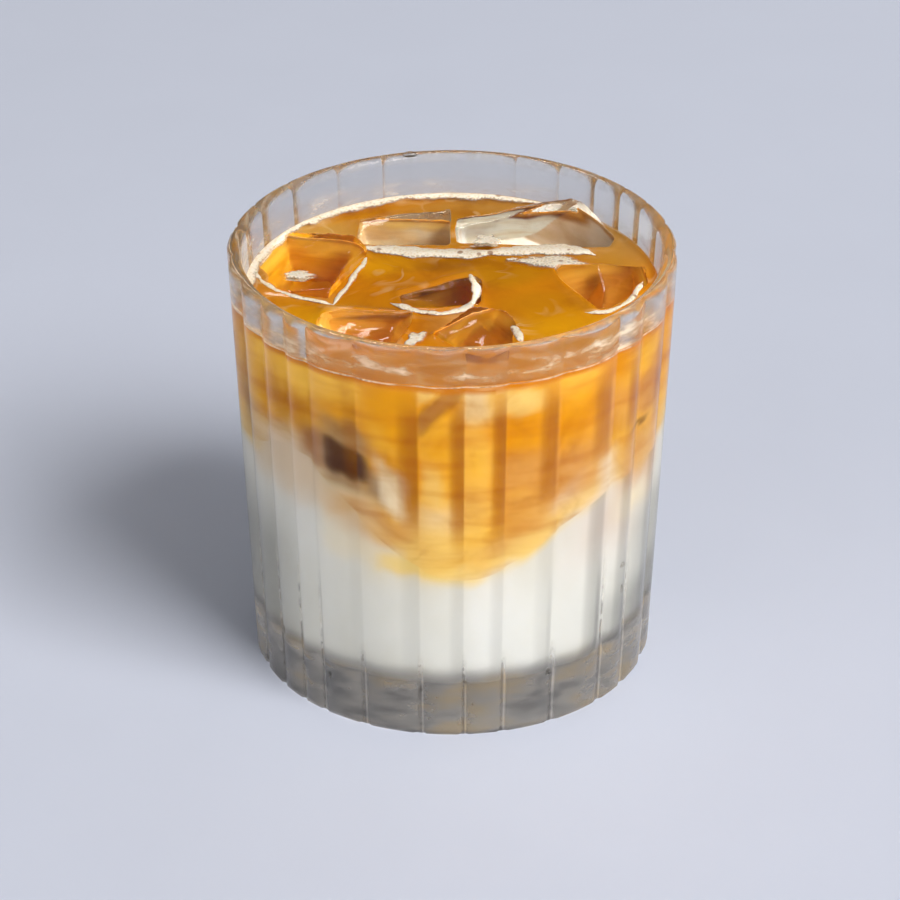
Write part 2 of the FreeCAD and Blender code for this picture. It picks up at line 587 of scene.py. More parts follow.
# Middles of the rounds in the section of the glass, as (radius, height).
FOOT_MIDDLE = (37.2, 2.6)
LIP_MIDDLE = (42.2, HEIGHT - 1.6)
FLOOR_MIDDLE = (30.5, FLOOR + 6.0)
# The rows round the lip, as (angle, how far the row counts as outside).
LIP_ROWS = (
    (12, 0.7), (32, 0.6), (52, 0.5), (70, 0.4), (90, 0.3), (110, 0.2), (128, 0.2), (148, 0.1), (168, 0.1),
)
# Starts of the rays that find the middle of the underside and of the floor.
UNDER = Vector((0, 0, -6))
OVER_FLOOR = Vector((0, 0, 30))


def glass_rows():
    """Rays that trace one section of the glass: start radius, start height, angle, and how far outside."""
    rows = []
    # The underside, seen from below.
    for radius in (6.0, 14.0, 22.0, 28.0, 32.0, 34.0, 34.8, 35.6, 36.4, 37.2, 37.9):
        rows.append((radius, UNDER.z, 90.0, 0.6))
    # The round of the foot.
    for angle in (-80, -62, -45, -30, -15):
        rows.append((*FOOT_MIDDLE, float(angle), 0.8))
    # The ribbed outside.
    for height in np.concatenate([[2.9, 4.0], np.arange(6.0, 84.5, 2.0), [85.0, 85.9]]):
        rows.append((60.0, float(height), 180.0, 1.0))
    # The lip.
    for angle, side in LIP_ROWS:
        rows.append((*LIP_MIDDLE, float(angle), side))
    # The smooth bore.
    for height in np.concatenate([[86.0, 85.0], np.arange(83.5, 17.0, -2.0), [16.2]]):
        rows.append((0.0, float(height), 0.0, 0.0))
    # The round at the floor, and the floor.
    for angle in (-12, -30, -48, -66, -84):
        rows.append((*FLOOR_MIDDLE, float(angle), 0.0))
    for radius in (28.0, 22.0, 15.0, 8.0, 3.0):
        rows.append((radius, OVER_FLOOR.z, -90.0, 0.0))
    return rows


def build_glass(look):
    """The tumbler, traced from its CAD solid with soft grooves and a slightly uneven wall."""
    rows = glass_rows()
    rings = np.empty((len(rows), len(COLUMNS), 3))
    for i, (radius, height, angle, _) in enumerate(rows):
        along, up = math.cos(math.radians(angle)), math.sin(math.radians(angle))
        for j, azimuth in enumerate(COLUMNS):
            way = direction(azimuth)
            start = way * radius + Vector((0, 0, height))
            hit = GLASS_SKIN.ray_cast(start, way * along + Vector((0, 0, up)))[0]
            if hit is None:
                raise RuntimeError(f"the glass has no surface at {radius}, {height}, {angle}")
            rings[i, j] = hit
    points, faces = rings_to_mesh(
        rings,
        GLASS_SKIN.ray_cast(UNDER, Vector((0, 0, 1)))[0],
        GLASS_SKIN.ray_cast(OVER_FLOOR, Vector((0, 0, -1)))[0],
    )
    # The mould leaves the wall uneven by a few hundredths of a millimetre.
    flat = np.hypot(points[:, 0], points[:, 1])
    wave = ripple(points * (1, 1, 0.4), 6.0, 1) + 0.5 * ripple(points * (1, 1, 0.5), 2.5, 2)
    points[:, :2] *= (1 - look.wave / MM * np.abs(wave) / np.maximum(flat, 5.0))[:, None]
    glass = make_object("ribbed_glass", points, faces, glass_material(look))
    side = np.append(np.repeat([row[3] for row in rows], len(COLUMNS)), (0.6, 0.0))
    mark_glass(glass.data, points, side)
    place(glass, "clear_glass", "glass")


def mark_glass(mesh, points, side):
    """Store where the glass is misted, wet or washed with milk, and where shade and highlight are painted.
    side is 1 outside and 0 inside.
    """
    z = points[:, 2]
    angles = azimuth_of(points)
    set_attribute(mesh, "outside", side)
    set_attribute(mesh, "cold_base", soft_step(17.0, 12.0, z) * (side > 0.7))
    # The grooves are wet near the base, and higher up away from the front. There they carry painted shade,
    # and a painted highlight on their lit side; the lip carries fainter painted shade.
    across = np.append(np.tile(PLACES, len(points) // len(COLUMNS)), (0.5, 0.5))
    wet = soft_step(19.0, 15.0, z) + 0.8 * soft_step(36, 22, z) * soft_step(32, 44, np.abs(angles + 2))
    wet = np.minimum(wet, 1.0) * (side > 0.75)
    lip = 0.2 * soft_step(HEIGHT - 2.4, HEIGHT - 1.0, z) * (side > 0.05)
    at_groove = (across < 0.02) | (across > 0.96)
    set_attribute(mesh, "groove", np.maximum(at_groove * wet, lip))
    set_attribute(mesh, "painted_groove_highlight", ((across > 0.02) & (across < 0.05)) * wet)
    # The film is thickest just over the liquid. It is lower and thinner at the back right, and a
    # thinner one reaches nearly to the lip at both sides.
    over = z > LEVEL - 1
    back = soft_step(0.1, 0.9, 0.5 - 0.5 * np.cos(np.radians(angles + 30)))
    top = LEVEL + 9.0 - 2.5 * back
    film = soft_step(top, top - 5.0, z) * over * (1 - 0.35 * back)
    sides = soft_step(34, 44, np.abs(angles)) * soft_step(95, 75, np.abs(angles))
    film += 0.9 * sides * over * soft_step(HEIGHT - 0.5, HEIGHT - 5.0, z)
    set_attribute(mesh, "film", film * (side < 0.05))


def water_material():
    """Water, condensed: clear, with a sharp glint."""
    material, tree = start_material("water_condensed")
    place_in = add(tree, "TexCoord")
    # Barely uneven over about 1 mm.
    film = add(tree, "TexNoise", {"Vector": place_in.outputs["Object"], "Scale": 1 / (1 * MM)})
    bump = add(tree, "Bump", {"Strength": 0.1, "Distance": 0.05 * MM, "Height": film.outputs["Fac"]})
    body = add(
        tree, "BsdfPrincipled",
        {
            "Base Color": linear("#E4E2DE"),
            "Transmission Weight": 1.0,
            "IOR": 1.33,
            "Roughness": 0.02,
            "Normal": bump.outputs["Normal"],
        },
    )
    add(tree, "OutputMaterial", {"Surface": body.outputs["BSDF"]})
    return material


# Drops of water on the glass: azimuth, height, half width, half height, and how far they stand out.
DROPS = (
    (-168.2, 87.7, 1.5, 0.8, 0.8),
    (54.2, 30.2, 0.8, 0.6, 0.4),
    (54.5, 24.5, 0.4, 1.0, 0.35),
    (28.0, 12.4, 0.5, 0.9, 0.35),
    (-9.0, 10.8, 0.4, 0.7, 0.3),
    (3.6, 12.6, 0.4, 0.8, 0.3),
    (-36.8, 9.6, 0.4, 0.8, 0.3),
    (-55.6, 14.5, 0.5, 1.0, 0.35),
)
# Rings of a drop from its foot to its top: share of its width, and share of how far it stands out.
DROP_RINGS = ((0.35, -0.3), (0.8, -0.25), (1.0, 0.0), (0.9, 0.45), (0.65, 0.8), (0.3, 0.97))
DROP_SIDES = 16


def build_drops():
    """Drops of water that sit on the lip and hang in the grooves, as one piece."""
    points, faces = [], []
    for azimuth, height, wide, tall, proud in DROPS:
        way = direction(azimuth)
        across = Vector((-way.y, way.x, 0.0))
        on_lip = height > HEIGHT - 1
        if on_lip:
            foot = way * (outer_radius(azimuth, HEIGHT - 3) - 1.4) + Vector((0, 0, height))
            out, up = Vector((0, 0, 1)), way
        else:
            foot = way * (outer_radius(azimuth, height) - 0.05) + Vector((0, 0, height))
            out, up = way, Vector((0, 0, 1))
        rings = []
        for share, depth in DROP_RINGS:
            for k in range(DROP_SIDES):
                turn = 2 * math.pi * k / DROP_SIDES
                sag = 1.0 - 0.25 * math.sin(turn)
                spot = foot + across * (wide * share * math.cos(turn) * sag)
                rings.append(spot + up * (tall * share * math.sin(turn)) + out * (proud * depth))
        skin = np.array([tuple(p) for p in rings]).reshape(len(DROP_RINGS), DROP_SIDES, 3)
        low, high = foot - out * (0.3 * proud), foot + out * proud
        made, made_faces = rings_to_mesh(skin, tuple(low), tuple(high))
        start = len(points)
        points += made.tolist()
        faces += [tuple(start + i for i in face) for face in made_faces]
    drops = make_object("water_drops", points, faces, water_material())
    tidy = bmesh.new()
    tidy.from_mesh(drops.data)
    bmesh.ops.recalc_face_normals(tidy, faces=tidy.faces)
    tidy.to_mesh(drops.data)
    tidy.free()
    place(drops, "clear_glass")


class DRINK_OT_glass(Operator):
    """Build the ribbed tumbler and the drops of water on it"""

    bl_idname = "drink.glass"
    bl_label = "Glass"

    def execute(self, context):
        build_glass(context.scene.glass_look)
        build_drops()
        return {"FINISHED"}


# ---------------------------------------------------------------- milk and coffee

# Colours of the mixed drink, from cream to strong coffee. The pure milk's is in DrinkLook.
# Two are painted light: a glowing gold where light shines through the coffee, and a pale grey-white for the
# reflection seen through one cube.
PALETTE = {
    "cream": "#EEE2C6",
    "butter": "#F4D683",
    "gold": "#F4C03C",
    "painted_glow": "#FFCE56",
    "tan": "#D6A05A",
    "taupe": "#9C8266",
    "beige": "#DEC9AE",
    "clay": "#A97444",
    "blush": "#DCC9BC",
    "orange": "#EAA600",
    "amber": "#C68400",
    "brown": "#8A5206",
    "rust": "#B06E00",
    "umber": "#4C2200",
    "painted_reflection": "#F1F4F0",
    "cocoa": "#7E3E06",
    "olive": "#B97E14",
    "dun": "#A88246",
}

# Plumes on the wall: azimuth, height, half width in degrees, half height, lean in millimetres for each
# degree, edge, colour and weight. An edge of 1 fades out softly, and 4 or 5 is nearly crisp.
# The plumes in glowing gold are painted light, where light shines through the coffee.
PLUMES = (
    (-50, 56, 22, 9.0, 0.04, 2, "beige", 0.9),
    (-48, 71.5, 27, 7.6, 0.06, 3, "painted_glow", 0.8),
    (-49, 67.5, 12, 4.5, 0.1, 1, "amber", 0.9),
    (-60, 76, 4, 3, 0.0, 2, "painted_glow", 0.9),
    (-61, 66, 4, 4, 0.0, 1, "orange", 0.9),
    (-73, 72, 8, 8, 0.0, 2, "gold", 0.7),
    (-73, 60, 4, 6, 0.0, 1, "taupe", 0.8),
    (-36, 75.0, 13, 3.2, 0.04, 2, "painted_glow", 1.0),
    (-31, 70, 9, 3.0, 0.1, 1, "orange", 0.8),
    (-29, 65.5, 8, 2.8, -0.1, 2, "taupe", 0.75),
    (-29, 50, 10, 5.0, -0.1, 2, "cream", 0.75),
    (-29, 50, 8, 2.5, -0.1, 1, "tan", 0.7),
    (-30, 42, 9, 4.5, 0.0, 2, "cream", 0.6),
    (-41, 61.4, 4.8, 4.2, -0.1, 2, "clay", 0.9),
    (-29.8, 57.6, 7.2, 4.6, -0.15, 2, "taupe", 0.8),
    (-29.8, 60.3, 7.2, 4.0, -0.12, 5, "umber", 0.94),
    (-20.5, 56, 3.2, 4.0, -0.3, 2, "taupe", 0.95),
    (-16, 72.5, 8, 6.0, 0.0, 3, "orange", 0.85),
    (-17, 64, 5, 3.5, -0.9, 2, "gold", 0.6),
    (-16.5, 55.5, 4.4, 6.0, -0.8, 3, "cream", 0.95),
    (-14, 46, 9, 3.6, -0.05, 1, "tan", 0.8),
    (-15, 38.5, 7, 2.2, 0.05, 2, "butter", 0.8),
    (-4, 67, 5.5, 6.0, 0.0, 3, "gold", 0.8),
    (-3.5, 66, 4, 4, 0.0, 1, "orange", 0.6),
    (-3.5, 54, 5.5, 6.5, 0.0, 2, "gold", 0.7),
    (-5, 57, 3.0, 4.5, -0.5, 2, "butter", 0.7),
    (-4.5, 47, 6.5, 6.0, 0.0, 1, "butter", 0.75),
    (-4, 49.5, 5.5, 2.4, 0.0, 1, "cream", 0.5),
    (-3, 75.2, 6.5, 2.7, 0.85, 3, "brown", 0.75),
    (-3, 75.2, 6.5, 2.0, 0.85, 2, "tan", 0.45),
    (-6, 78, 3.2, 2.0, 0.5, 2, "butter", 0.8),
    (7, 76, 5.5, 4.5, 0.0, 2, "butter", 0.9),
    (6.5, 76, 3.4, 4.0, 0.0, 2, "cream", 0.6),
    (6.3, 58, 4.2, 13, 0.0, 3, "butter", 0.5),
    (6.3, 62, 4, 6, 0.0, 1, "gold", 0.8),
    (19, 75.2, 6.3, 3.0, 0.0, 3, "butter", 0.95),
    (19, 67, 7, 4.2, 0.0, 2, "orange", 0.7),
    (19, 59, 7, 4.8, 0.0, 2, "tan", 0.75),
    (19, 50, 7, 5.0, 0.0, 2, "tan", 0.6),
    (18, 43, 7, 2.6, 0.1, 2, "butter", 0.7),
    (-2, 39.5, 15, 3.4, 0.05, 1, "butter", 0.95),
    (2, 40.0, 9, 1.8, 0.07, 1, "gold", 0.5),
    (15, 44, 8, 2.6, 0.3, 1, "tan", 0.6),
    (-24, 45, 9, 2.0, -0.2, 1, "tan", 0.5),
    (36, 69, 9.5, 9.5, 0.0, 3, "orange", 1.0),
    (36, 78, 9.5, 4.0, 0.0, 1, "painted_glow", 0.8),
    (34.5, 58, 9.0, 5.0, 0.05, 1, "tan", 0.95),
    (33, 51.5, 6, 2.4, 0.4, 1, "blush", 0.6),
    (49, 76, 6, 3.2, 0.0, 3, "orange", 0.95),
    (49, 67, 6, 6.5, 0.0, 2, "tan", 0.6),
    (50, 58, 4, 4, 0.0, 1, "gold", 0.4),
    (48, 53, 5, 5.4, 0.0, 2, "cream", 0.9),
    (50, 42, 13, 8.0, 0.0, 1, "blush", 0.7),
    (62, 75, 8, 4.0, 0.0, 2, "gold", 0.9),
    (62, 66, 8, 5.0, 0.0, 2, "tan", 0.85),
    (61.5, 59.8, 4.6, 0.7, 0.12, 3, "umber", 0.75),
    (62, 52, 8, 6.5, 0.0, 2, "tan", 0.75),
    (62, 43.5, 8, 3.2, 0.0, 1, "cream", 0.9),
    (74, 58, 6, 16, 0.0, 2, "tan", 0.8),
    (95, 70, 12, 7, 0.1, 2, "orange", 0.8),
    (104, 57, 9, 6, -0.2, 2, "cream", 0.8),
    (125, 68, 14, 8, 0.1, 3, "orange", 0.9),
    (122, 54, 8, 5, 0.0, 2, "tan", 0.8),
    (146, 72, 9, 5, -0.1, 2, "gold", 0.9),
    (150, 58, 6, 9, -0.4, 3, "cream", 0.8),
    (168, 66, 12, 9, 0.0, 2, "amber", 0.8),
    (-172, 52, 10, 5, 0.1, 2, "tan", 0.7),
    (-150, 72, 15, 6, 0.0, 3, "orange", 0.9),
    (-152, 60, 8, 5, 0.2, 2, "brown", 0.6),
    (-132, 58, 6, 9, 0.3, 3, "cream", 0.85),
    (-118, 70, 12, 8, 0.0, 2, "orange", 0.9),
    (-108, 56, 9, 5, 0.0, 2, "tan", 0.7),
    (-92, 72, 9, 6, 0.0, 2, "gold", 0.8),
)

# Patches of colour on the open surface: middle (x, y), half width, half depth, colour, weight. The
# olive and dun patches at the back and by the left wall are partly the drink's colour and partly painted
# shade.
TOP_PATCHES = (
    (0, 26, 44, 12, "olive", 0.75),
    (-34, 22, 14, 12, "butter", 0.35),
    (34, 22, 10, 14, "dun", 0.7),
    (12, 38, 26, 5, "dun", 0.6),
    (-37, 17, 9, 16, "dun", 0.75),
    (10, 8, 9, 7, "amber", 0.85),
    (0, 13, 9, 3, "rust", 0.8),
    (-14, 11, 6, 5, "orange", 0.6),
    (20, -6, 14, 5, "amber", 0.5),
    (20, -16, 12, 7, "orange", 0.7),
    (-30, -12, 12, 8, "orange", 0.95),
    (4, -14, 8, 3, "tan", 0.7),
    (30, 0, 6, 16, "orange", 0.4),
)

# The coffee seen through each cube: its colour at the waterline, its colour lower down, and the two
# depths between which the first turns into the second.
# The glowing gold here is painted light, and the pale grey-white under ice_1 is a painted reflection.
HOLLOWS = {
    "ice_1": ("cocoa", "painted_reflection", 0.8, 2.6),
    "ice_2": ("butter", "cream", 1.0, 5.0),
    "ice_3": ("gold", "orange", 3.0, 8.0),
    "ice_4": ("gold", "orange", 3.0, 8.0),
    "ice_5": ("gold", "painted_glow", 2.0, 8.0),
    "ice_6": ("painted_glow", "painted_glow", 5.0, 9.0),
    "ice_7": ("amber", "orange", 3.0, 9.0),
}


def drink_palette():
    """The colours of the drink as linear values."""
    palette = {name: np.array(linear(code)[:3]) for name, code in PALETTE.items()}
    palette["milk"] = np.array(bpy.context.scene.drink_look.milk)
    return palette


def over_boundary(angles, heights):
    """Height above the line between milk and coffee, in millimetres."""
    return heights - np.interp(angles, COLUMNS, BOUNDARY[0], period=360)


def wall_colours(angles, heights):
    """The colour of the drink where it touches the glass."""
    palette = drink_palette()
    # Slow eddies bend the plumes by a millimetre or two, and the line under them by more.
    spots = points_round(40, angles, heights * 0.8)
    above = over_boundary(angles, heights) + 2.6 * ripple(spots, 9.0, 25) + 1.6 * ripple(spots, 3.4, 26)
    angles = angles + 1.0 * ripple(spots, 7.0, 21) + 0.6 * ripple(spots, 2.6, 22)
    heights = heights + 1.5 * ripple(spots, 8.0, 23) + 0.9 * ripple(spots, 2.6, 24)
    colours = np.repeat(palette["milk"][None], len(angles), axis=0)
    for name, low, high in (("butter", -2.5, 2.0), ("gold", 1.0, 8.0), ("orange", 8.0, 20.0)):
        share = soft_step(low, high, above)[:, None]
        colours = colours * (1 - share) + palette[name] * share
    for azimuth, height, wide, tall, lean, edge, name, weight in PLUMES:
        away = (angles - azimuth + 180) % 360 - 180
        u = away / wide
        v = (heights - height - lean * away) / tall
        share = (weight * np.exp(-((u**4 + v**4) ** (edge / 2))))[:, None]
        colours = colours * (1 - share) + palette[name] * share
    return colours


def across_rib(angles):
    """The place of each azimuth across its rib, from 0 at one groove to 1 at the next."""
    edges = np.array([*GROOVES, GROOVES[0] + 360.0])
    turned = (angles - edges[0]) % 360 + edges[0]
    rib = np.clip(np.searchsorted(edges, turned, side="right") - 1, 0, len(edges) - 2)
    return (turned - edges[rib]) / (edges[rib + 1] - edges[rib])


def groove_stripes(angles, heights):
    """How much the wall is darkened where a rib turns away from the light, just before each groove."""
    across = across_rib(angles)
    stripe = soft_step(0.62, 0.74, across) * soft_step(1.0, 0.94, across)
    facing = 0.35 + 0.65 * soft_step(-40, -5, angles) * soft_step(95, 60, angles)
    return stripe * facing * (0.25 + 0.75 * soft_step(77, 70, heights))


def narrow_grooves(angles, heights):
    """Thin lines of painted shade just before the grooves, low on the glass and away from its front."""
    line = soft_step(0.84, 0.95, across_rib(angles))
    return line * soft_step(36, 24, heights) * soft_step(25, 42, np.abs(angles + 4))


def milk_material():
    """Whole milk, poured: dense white with a soft sheen and faint creamy clouds."""
    material, tree = start_material("whole_milk_poured")
    place_in = add(tree, "TexCoord")
    blend = add(tree, "Attribute", attribute_name="blend")
    # Clouds of cream about 14 mm wide, stretched upward.
    stretch = add(tree, "Mapping", {"Vector": place_in.outputs["Object"], "Scale": (1.0, 1.0, 0.45)})
    clouds = add(
        tree, "TexNoise", {"Vector": stretch.outputs["Vector"], "Scale": 1 / (14 * MM), "Detail": 3.0},
    )
    tone = add(
        tree, "ValToRGB", {"Fac": clouds.outputs["Fac"]},
        stops=[(0.3, linear("#F2F1EC")), (0.7, linear("#FFFFFF"))],
    )
    colour = add(
        tree, "Mix", {0: 1.0, 6: blend.outputs["Color"], 7: tone.outputs["Color"]},
        data_type="RGBA",
        blend_type="MULTIPLY",
    )
    body = add(
        tree, "BsdfPrincipled",
        {
            "Base Color": colour.outputs[2],
            "Roughness": 0.6,
            "Specular IOR Level": 0.0,
            "Subsurface Weight": 0.2,
            "Subsurface Radius": (1.0, 0.9, 0.75),
            "Subsurface Scale": 1.5 * MM,
        },
    )
    add(tree, "OutputMaterial", {"Surface": body.outputs["BSDF"]})
    return material


def coffee_material(open_surface):
    """Coffee with milk, poured: amber with pale swirls, glossy only where air meets it."""
    name = "milk_coffee_open_surface" if open_surface else "milk_coffee_against_glass"
    material, tree = start_material(name)
    place_in = add(tree, "TexCoord")
    blend = add(tree, "Attribute", attribute_name="blend")
    # Swirls about 12 mm wide, drawn out by a second noise.
    warp = add(
        tree, "TexNoise", {"Vector": place_in.outputs["Object"], "Scale": 1 / (20 * MM), "Detail": 2.0},
    )
    push = add(
        tree, "VectorMath", {0: warp.outputs["Color"], 1: (0.03, 0.03, 0.03)},
        operation="MULTIPLY",
    )
    drawn = add(
        tree, "VectorMath", {0: place_in.outputs["Object"], 1: push.outputs["Vector"]},
        operation="ADD",
    )
    swirls = add(
        tree, "TexNoise",
        {"Vector": drawn.outputs["Vector"], "Scale": 1 / (12 * MM), "Detail": 5.0, "Roughness": 0.55},
    )
    tone = add(
        tree, "ValToRGB", {"Fac": swirls.outputs["Fac"]},
        stops=[(0.32, linear("#E2D2BE")), (0.5, linear("#F8F4EE")), (0.68, linear("#FFFFFF"))],
    )
    # Thin layers about 3 mm thick lie over each other and run round the glass.
    layered = add(tree, "Mapping", {"Vector": place_in.outputs["Object"], "Scale": (0.16, 0.16, 1.0)})
    layers = add(
        tree, "TexNoise",
        {"Vector": layered.outputs["Vector"], "Scale": 1 / (3 * MM), "Detail": 3.0, "Roughness": 0.5},
    )
    layer_tone = add(
        tree, "ValToRGB", {"Fac": layers.outputs["Fac"]},
        stops=[(0.34, linear("#EEDFCB")), (0.5, linear("#FAF6F0")), (0.66, linear("#FFFFFF"))],
    )
    tone = add(
        tree, "Mix",
        {0: 0.0 if open_surface else 1.0, 6: tone.outputs["Color"], 7: layer_tone.outputs["Color"]},
        data_type="RGBA",
        blend_type="MULTIPLY",
    )
    colour = add(
        tree, "Mix", {0: 1.0, 6: blend.outputs["Color"], 7: tone.outputs[2]},
        data_type="RGBA",
        blend_type="MULTIPLY",
    )
    if open_surface:
        # Thin pale wisps of milk drawn over the surface, a millimetre or two wide, with gaps.
        thread = add(
            tree, "TexNoise",
            {"Vector": drawn.outputs["Vector"], "Scale": 1 / (16 * MM), "Detail": 2.0, "Distortion": 0.8},
        )
        centre = add(tree, "Math", {0: thread.outputs["Fac"], 1: 0.52}, operation="SUBTRACT")
        near = add(tree, "Math", {0: centre.outputs["Value"]}, operation="ABSOLUTE")
        wisp = add(
            tree, "MapRange",
            {
                "Value": near.outputs["Value"],
                "From Min": 0.0,
                "From Max": 0.04,
                "To Min": 0.3,
                "To Max": 0.0,
            },
        )
        fade = add(
            tree, "TexNoise",
            {"Vector": place_in.outputs["Object"], "Scale": 1 / (11 * MM), "Detail": 2.0},
        )
        gaps = add(tree, "MapRange", {"Value": fade.outputs["Fac"], "From Min": 0.45, "From Max": 0.65})
        share = add(
            tree, "Math", {0: wisp.outputs["Result"], 1: gaps.outputs["Result"]},
            operation="MULTIPLY",
        )
        colour = add(
            tree, "Mix", {0: share.outputs["Value"], 6: colour.outputs[2], 7: linear("#F3D9A4")},
            data_type="RGBA",
        )
    body = add(
        tree, "BsdfPrincipled",
        {
            "Base Color": colour.outputs[2],
            "Roughness": 0.1 if open_surface else 0.6,
            "IOR": 1.34,
            "Specular IOR Level": 0.35 if open_surface else 0.0,
            "Subsurface Weight": 0.1,
            "Subsurface Radius": (1.0, 0.7, 0.4),
            "Subsurface Scale": 1.0 * MM,
        },
    )
    add(tree, "OutputMaterial", {"Surface": body.outputs["BSDF"]})
    return material


# Radii of the rings inside the surface between milk and coffee.
INNER_RADII = np.array([36.0, 32.0, 26.0, 20.0, 12.0, 5.0])
# The top of the round at the glass's floor.
FLOOR_ROUND = FLOOR + 7.0
# The coffee reaches this far down into the milk, so that no gap shows.
OVERLAP = 0.05


def wall_points(heights, reach):
    """Points on the bore, pushed into the wall by reach, for each column; heights is rows by columns."""
    sample = np.linspace(FLOOR + 6.5, LEVEL + 4, 24)
    radii = np.array([bore_radius(z) for z in sample])
    return points_round(np.interp(heights, sample, radii) + reach, COLUMNS, heights)


def inner_rings():
    """Rings of points on the surface between milk and coffee, from near the wall inwards."""
    rising = BOUNDARY_RADII[::-1]
    columns = [np.interp(INNER_RADII, rising, heights) for heights in BOUNDARY[::-1].T]
    return [points_round(radius, COLUMNS, row) for radius, row in zip(INNER_RADII, np.array(columns).T)]


def build_milk(look):
    """The milk: it fills the floor of the glass up to the rolling line."""
    reach = look.reach / MM
    base = FLOOR - reach
    rings = [points_round(radius, COLUMNS, base) for radius in (8.0, 18.0, 25.0, 29.0)]
    # The round at the floor follows the glass, always the same way into it.
    middle = Vector((0.0, -29.5, FLOOR_ROUND))
    for turn in range(-86, 0, 7):
        angle = math.radians(turn)
        way = Vector((0.0, -math.cos(angle), math.sin(angle)))
        hit = GLASS_SKIN.ray_cast(middle, way)[0] + way * reach
        rings.append(points_round(-hit.y, COLUMNS, hit.z))
    shares = np.linspace(0, 1, 34)[:, None]
    wall = wall_points(FLOOR_ROUND + (BOUNDARY[0] - FLOOR_ROUND)[None] * shares, reach)
    rings = [*rings, *wall, *inner_rings()]
    points, faces = rings_to_mesh(np.array(rings), (0, 0, base), (0, 0, float(BOUNDARY[-1].mean())))
    milk = make_object("milk_layer", points, faces, milk_material())
    # Only edges sharper than this show as edges, such as the one where the side meets the top.
    milk.data.set_sharp_from_angle(angle=math.radians(40))
    set_attribute(milk.data, "blend", milk_colours(points))
    place(milk, "milk", "milk")


def milk_colours(points):
    """The colour of the milk: the wall's, with painted shade at the grooves, at the sides and at the base.
    """
    angles = azimuth_of(points)
    z = points[:, 2]
    colours = wall_colours(angles, z)
    # Painted shade at the grooves, where each rib turns away from the light.
    stripe = groove_stripes(angles, z)
    colours *= (1 - (0.1 + 0.2 * soft_step(30, 42, angles)) * stripe)[:, None]
    # Painted shade low on the left side, low on the right side and in thin lines at the grooves.
    dim = 0.45 * soft_step(-44, -66, angles) * soft_step(-130, -90, angles) * soft_step(50, 30, z)
    dim += 0.35 * soft_step(58, 72, angles) * soft_step(44, 34, z)
    dim += 0.3 * soft_step(40, 56, angles) * soft_step(27, 18, z)
    dim += 0.35 * narrow_grooves(angles, z)
    colours *= (1 - np.clip(dim, 0, 0.6))[:, None]
    # Under the turn of the floor the milk lies in the shade of the thick base.
    shade = 0.25 + 0.17 * soft_step(-35, 10, angles)
    colours *= (shade + (1 - shade) * soft_step(FLOOR + 0.5, FLOOR + 5.5, z))[:, None]
    return colours


# How far the liquid climbs, as a share of the meniscus, and how far that reaches out.
WALL_CLIMB, WALL_SPREAD = 0.9, 0.9
ICE_CLIMB, ICE_SPREAD = 0.45, 0.7


def contact_rise(points, skins, look):
    """How far the liquid climbs at each point of the surface, at the ice and at the wall."""
    away = bore_radius(LEVEL) - np.hypot(points[:, 0], points[:, 1])
    rise = WALL_CLIMB * np.exp(-np.maximum(away, 0) / WALL_SPREAD)
    for low, high, skin in skins:
        near = np.all((points[:, :2] > low - 4) & (points[:, :2] < high + 4), axis=1)
        for i in np.nonzero(near)[0]:
            distance = skin.find_nearest(Vector(points[i]))[3]
            rise[i] = max(rise[i], ICE_CLIMB * math.exp(-distance / ICE_SPREAD))
    return rise * (look.meniscus / MM)


def coffee_colours(points, skins):
    """The coffee's colour: plumes and painted shade at the wall, amber on top, painted light round the ice.
    """
    z = points[:, 2]
    flat = np.hypot(points[:, 0], points[:, 1])
    angles = azimuth_of(points)
    bore = np.interp(z, [30, LEVEL], [bore_radius(30.0), bore_radius(LEVEL)])
    wall = wall_colours(angles, z)
    palette = drink_palette()
    above = over_boundary(angles, z)
    # Painted shade: darker rust stripes where each rib turns away from the light, above the milk line.
    stripe = (groove_stripes(angles, z) * soft_step(2.0, 18.0, above))[:, None]
    wall = wall * (1 - 0.8 * stripe) + palette["rust"] * 0.8 * stripe
    swirl = 0.5 + 0.5 * ripple(points * (1, 1, 0.2), 16.0, 5)
    top = np.array(bpy.context.scene.drink_look.surface)
    inside = top * (0.85 + 0.25 * swirl[:, None])
    bent = points[:, :2] + 3.0 * np.stack([ripple(points, 9.0, 61), ripple(points, 9.0, 62)], axis=-1)
    for x, y, wide, deep, name, weight in TOP_PATCHES:
        away = ((bent[:, 0] - x) / wide) ** 2 + ((bent[:, 1] - y) / deep) ** 2
        patch = (weight * np.exp(-(away**1.5)))[:, None]
        inside = inside * (1 - patch) + palette[name] * patch
    # Round the ice the coffee turns from its waterline colour to a lower one, with patches of painted glow,
    # and under one cube the lower colour is a pale painted reflection.
    under = soft_step(LEVEL - 0.3, LEVEL - 1.0, z) * soft_step(bore - 0.6, bore - 1.2, flat)
    for i in np.nonzero(under > 0)[0]:
        spot = Vector(points[i])
        distances = [skin.find_nearest(spot)[3] for _, _, skin in skins]
        first, second, low, high = HOLLOWS[ICE_NODES[int(np.argmin(distances))]]
        lower = float(soft_step(LEVEL - low, LEVEL - high, spot.z + 1.6 * noise.noise(spot / 5.0)))
        hollow = palette[first] * (1 - lower) + palette[second] * lower
        if second != "painted_reflection":
            patch = 0.22 + 0.22 * noise.noise(spot / 4.0 + Vector((9, 0, 0)))
            hollow = hollow * (1 - patch) + palette["painted_glow"] * patch
        inside[i] = inside[i] * (1 - under[i]) + hollow * under[i]
    share = soft_step(bore - 1.2, bore - 0.1, flat) * soft_step(LEVEL + 0.5, LEVEL - 0.5, z)
    share = share[:, None]
    return inside * (1 - share) + wall * share


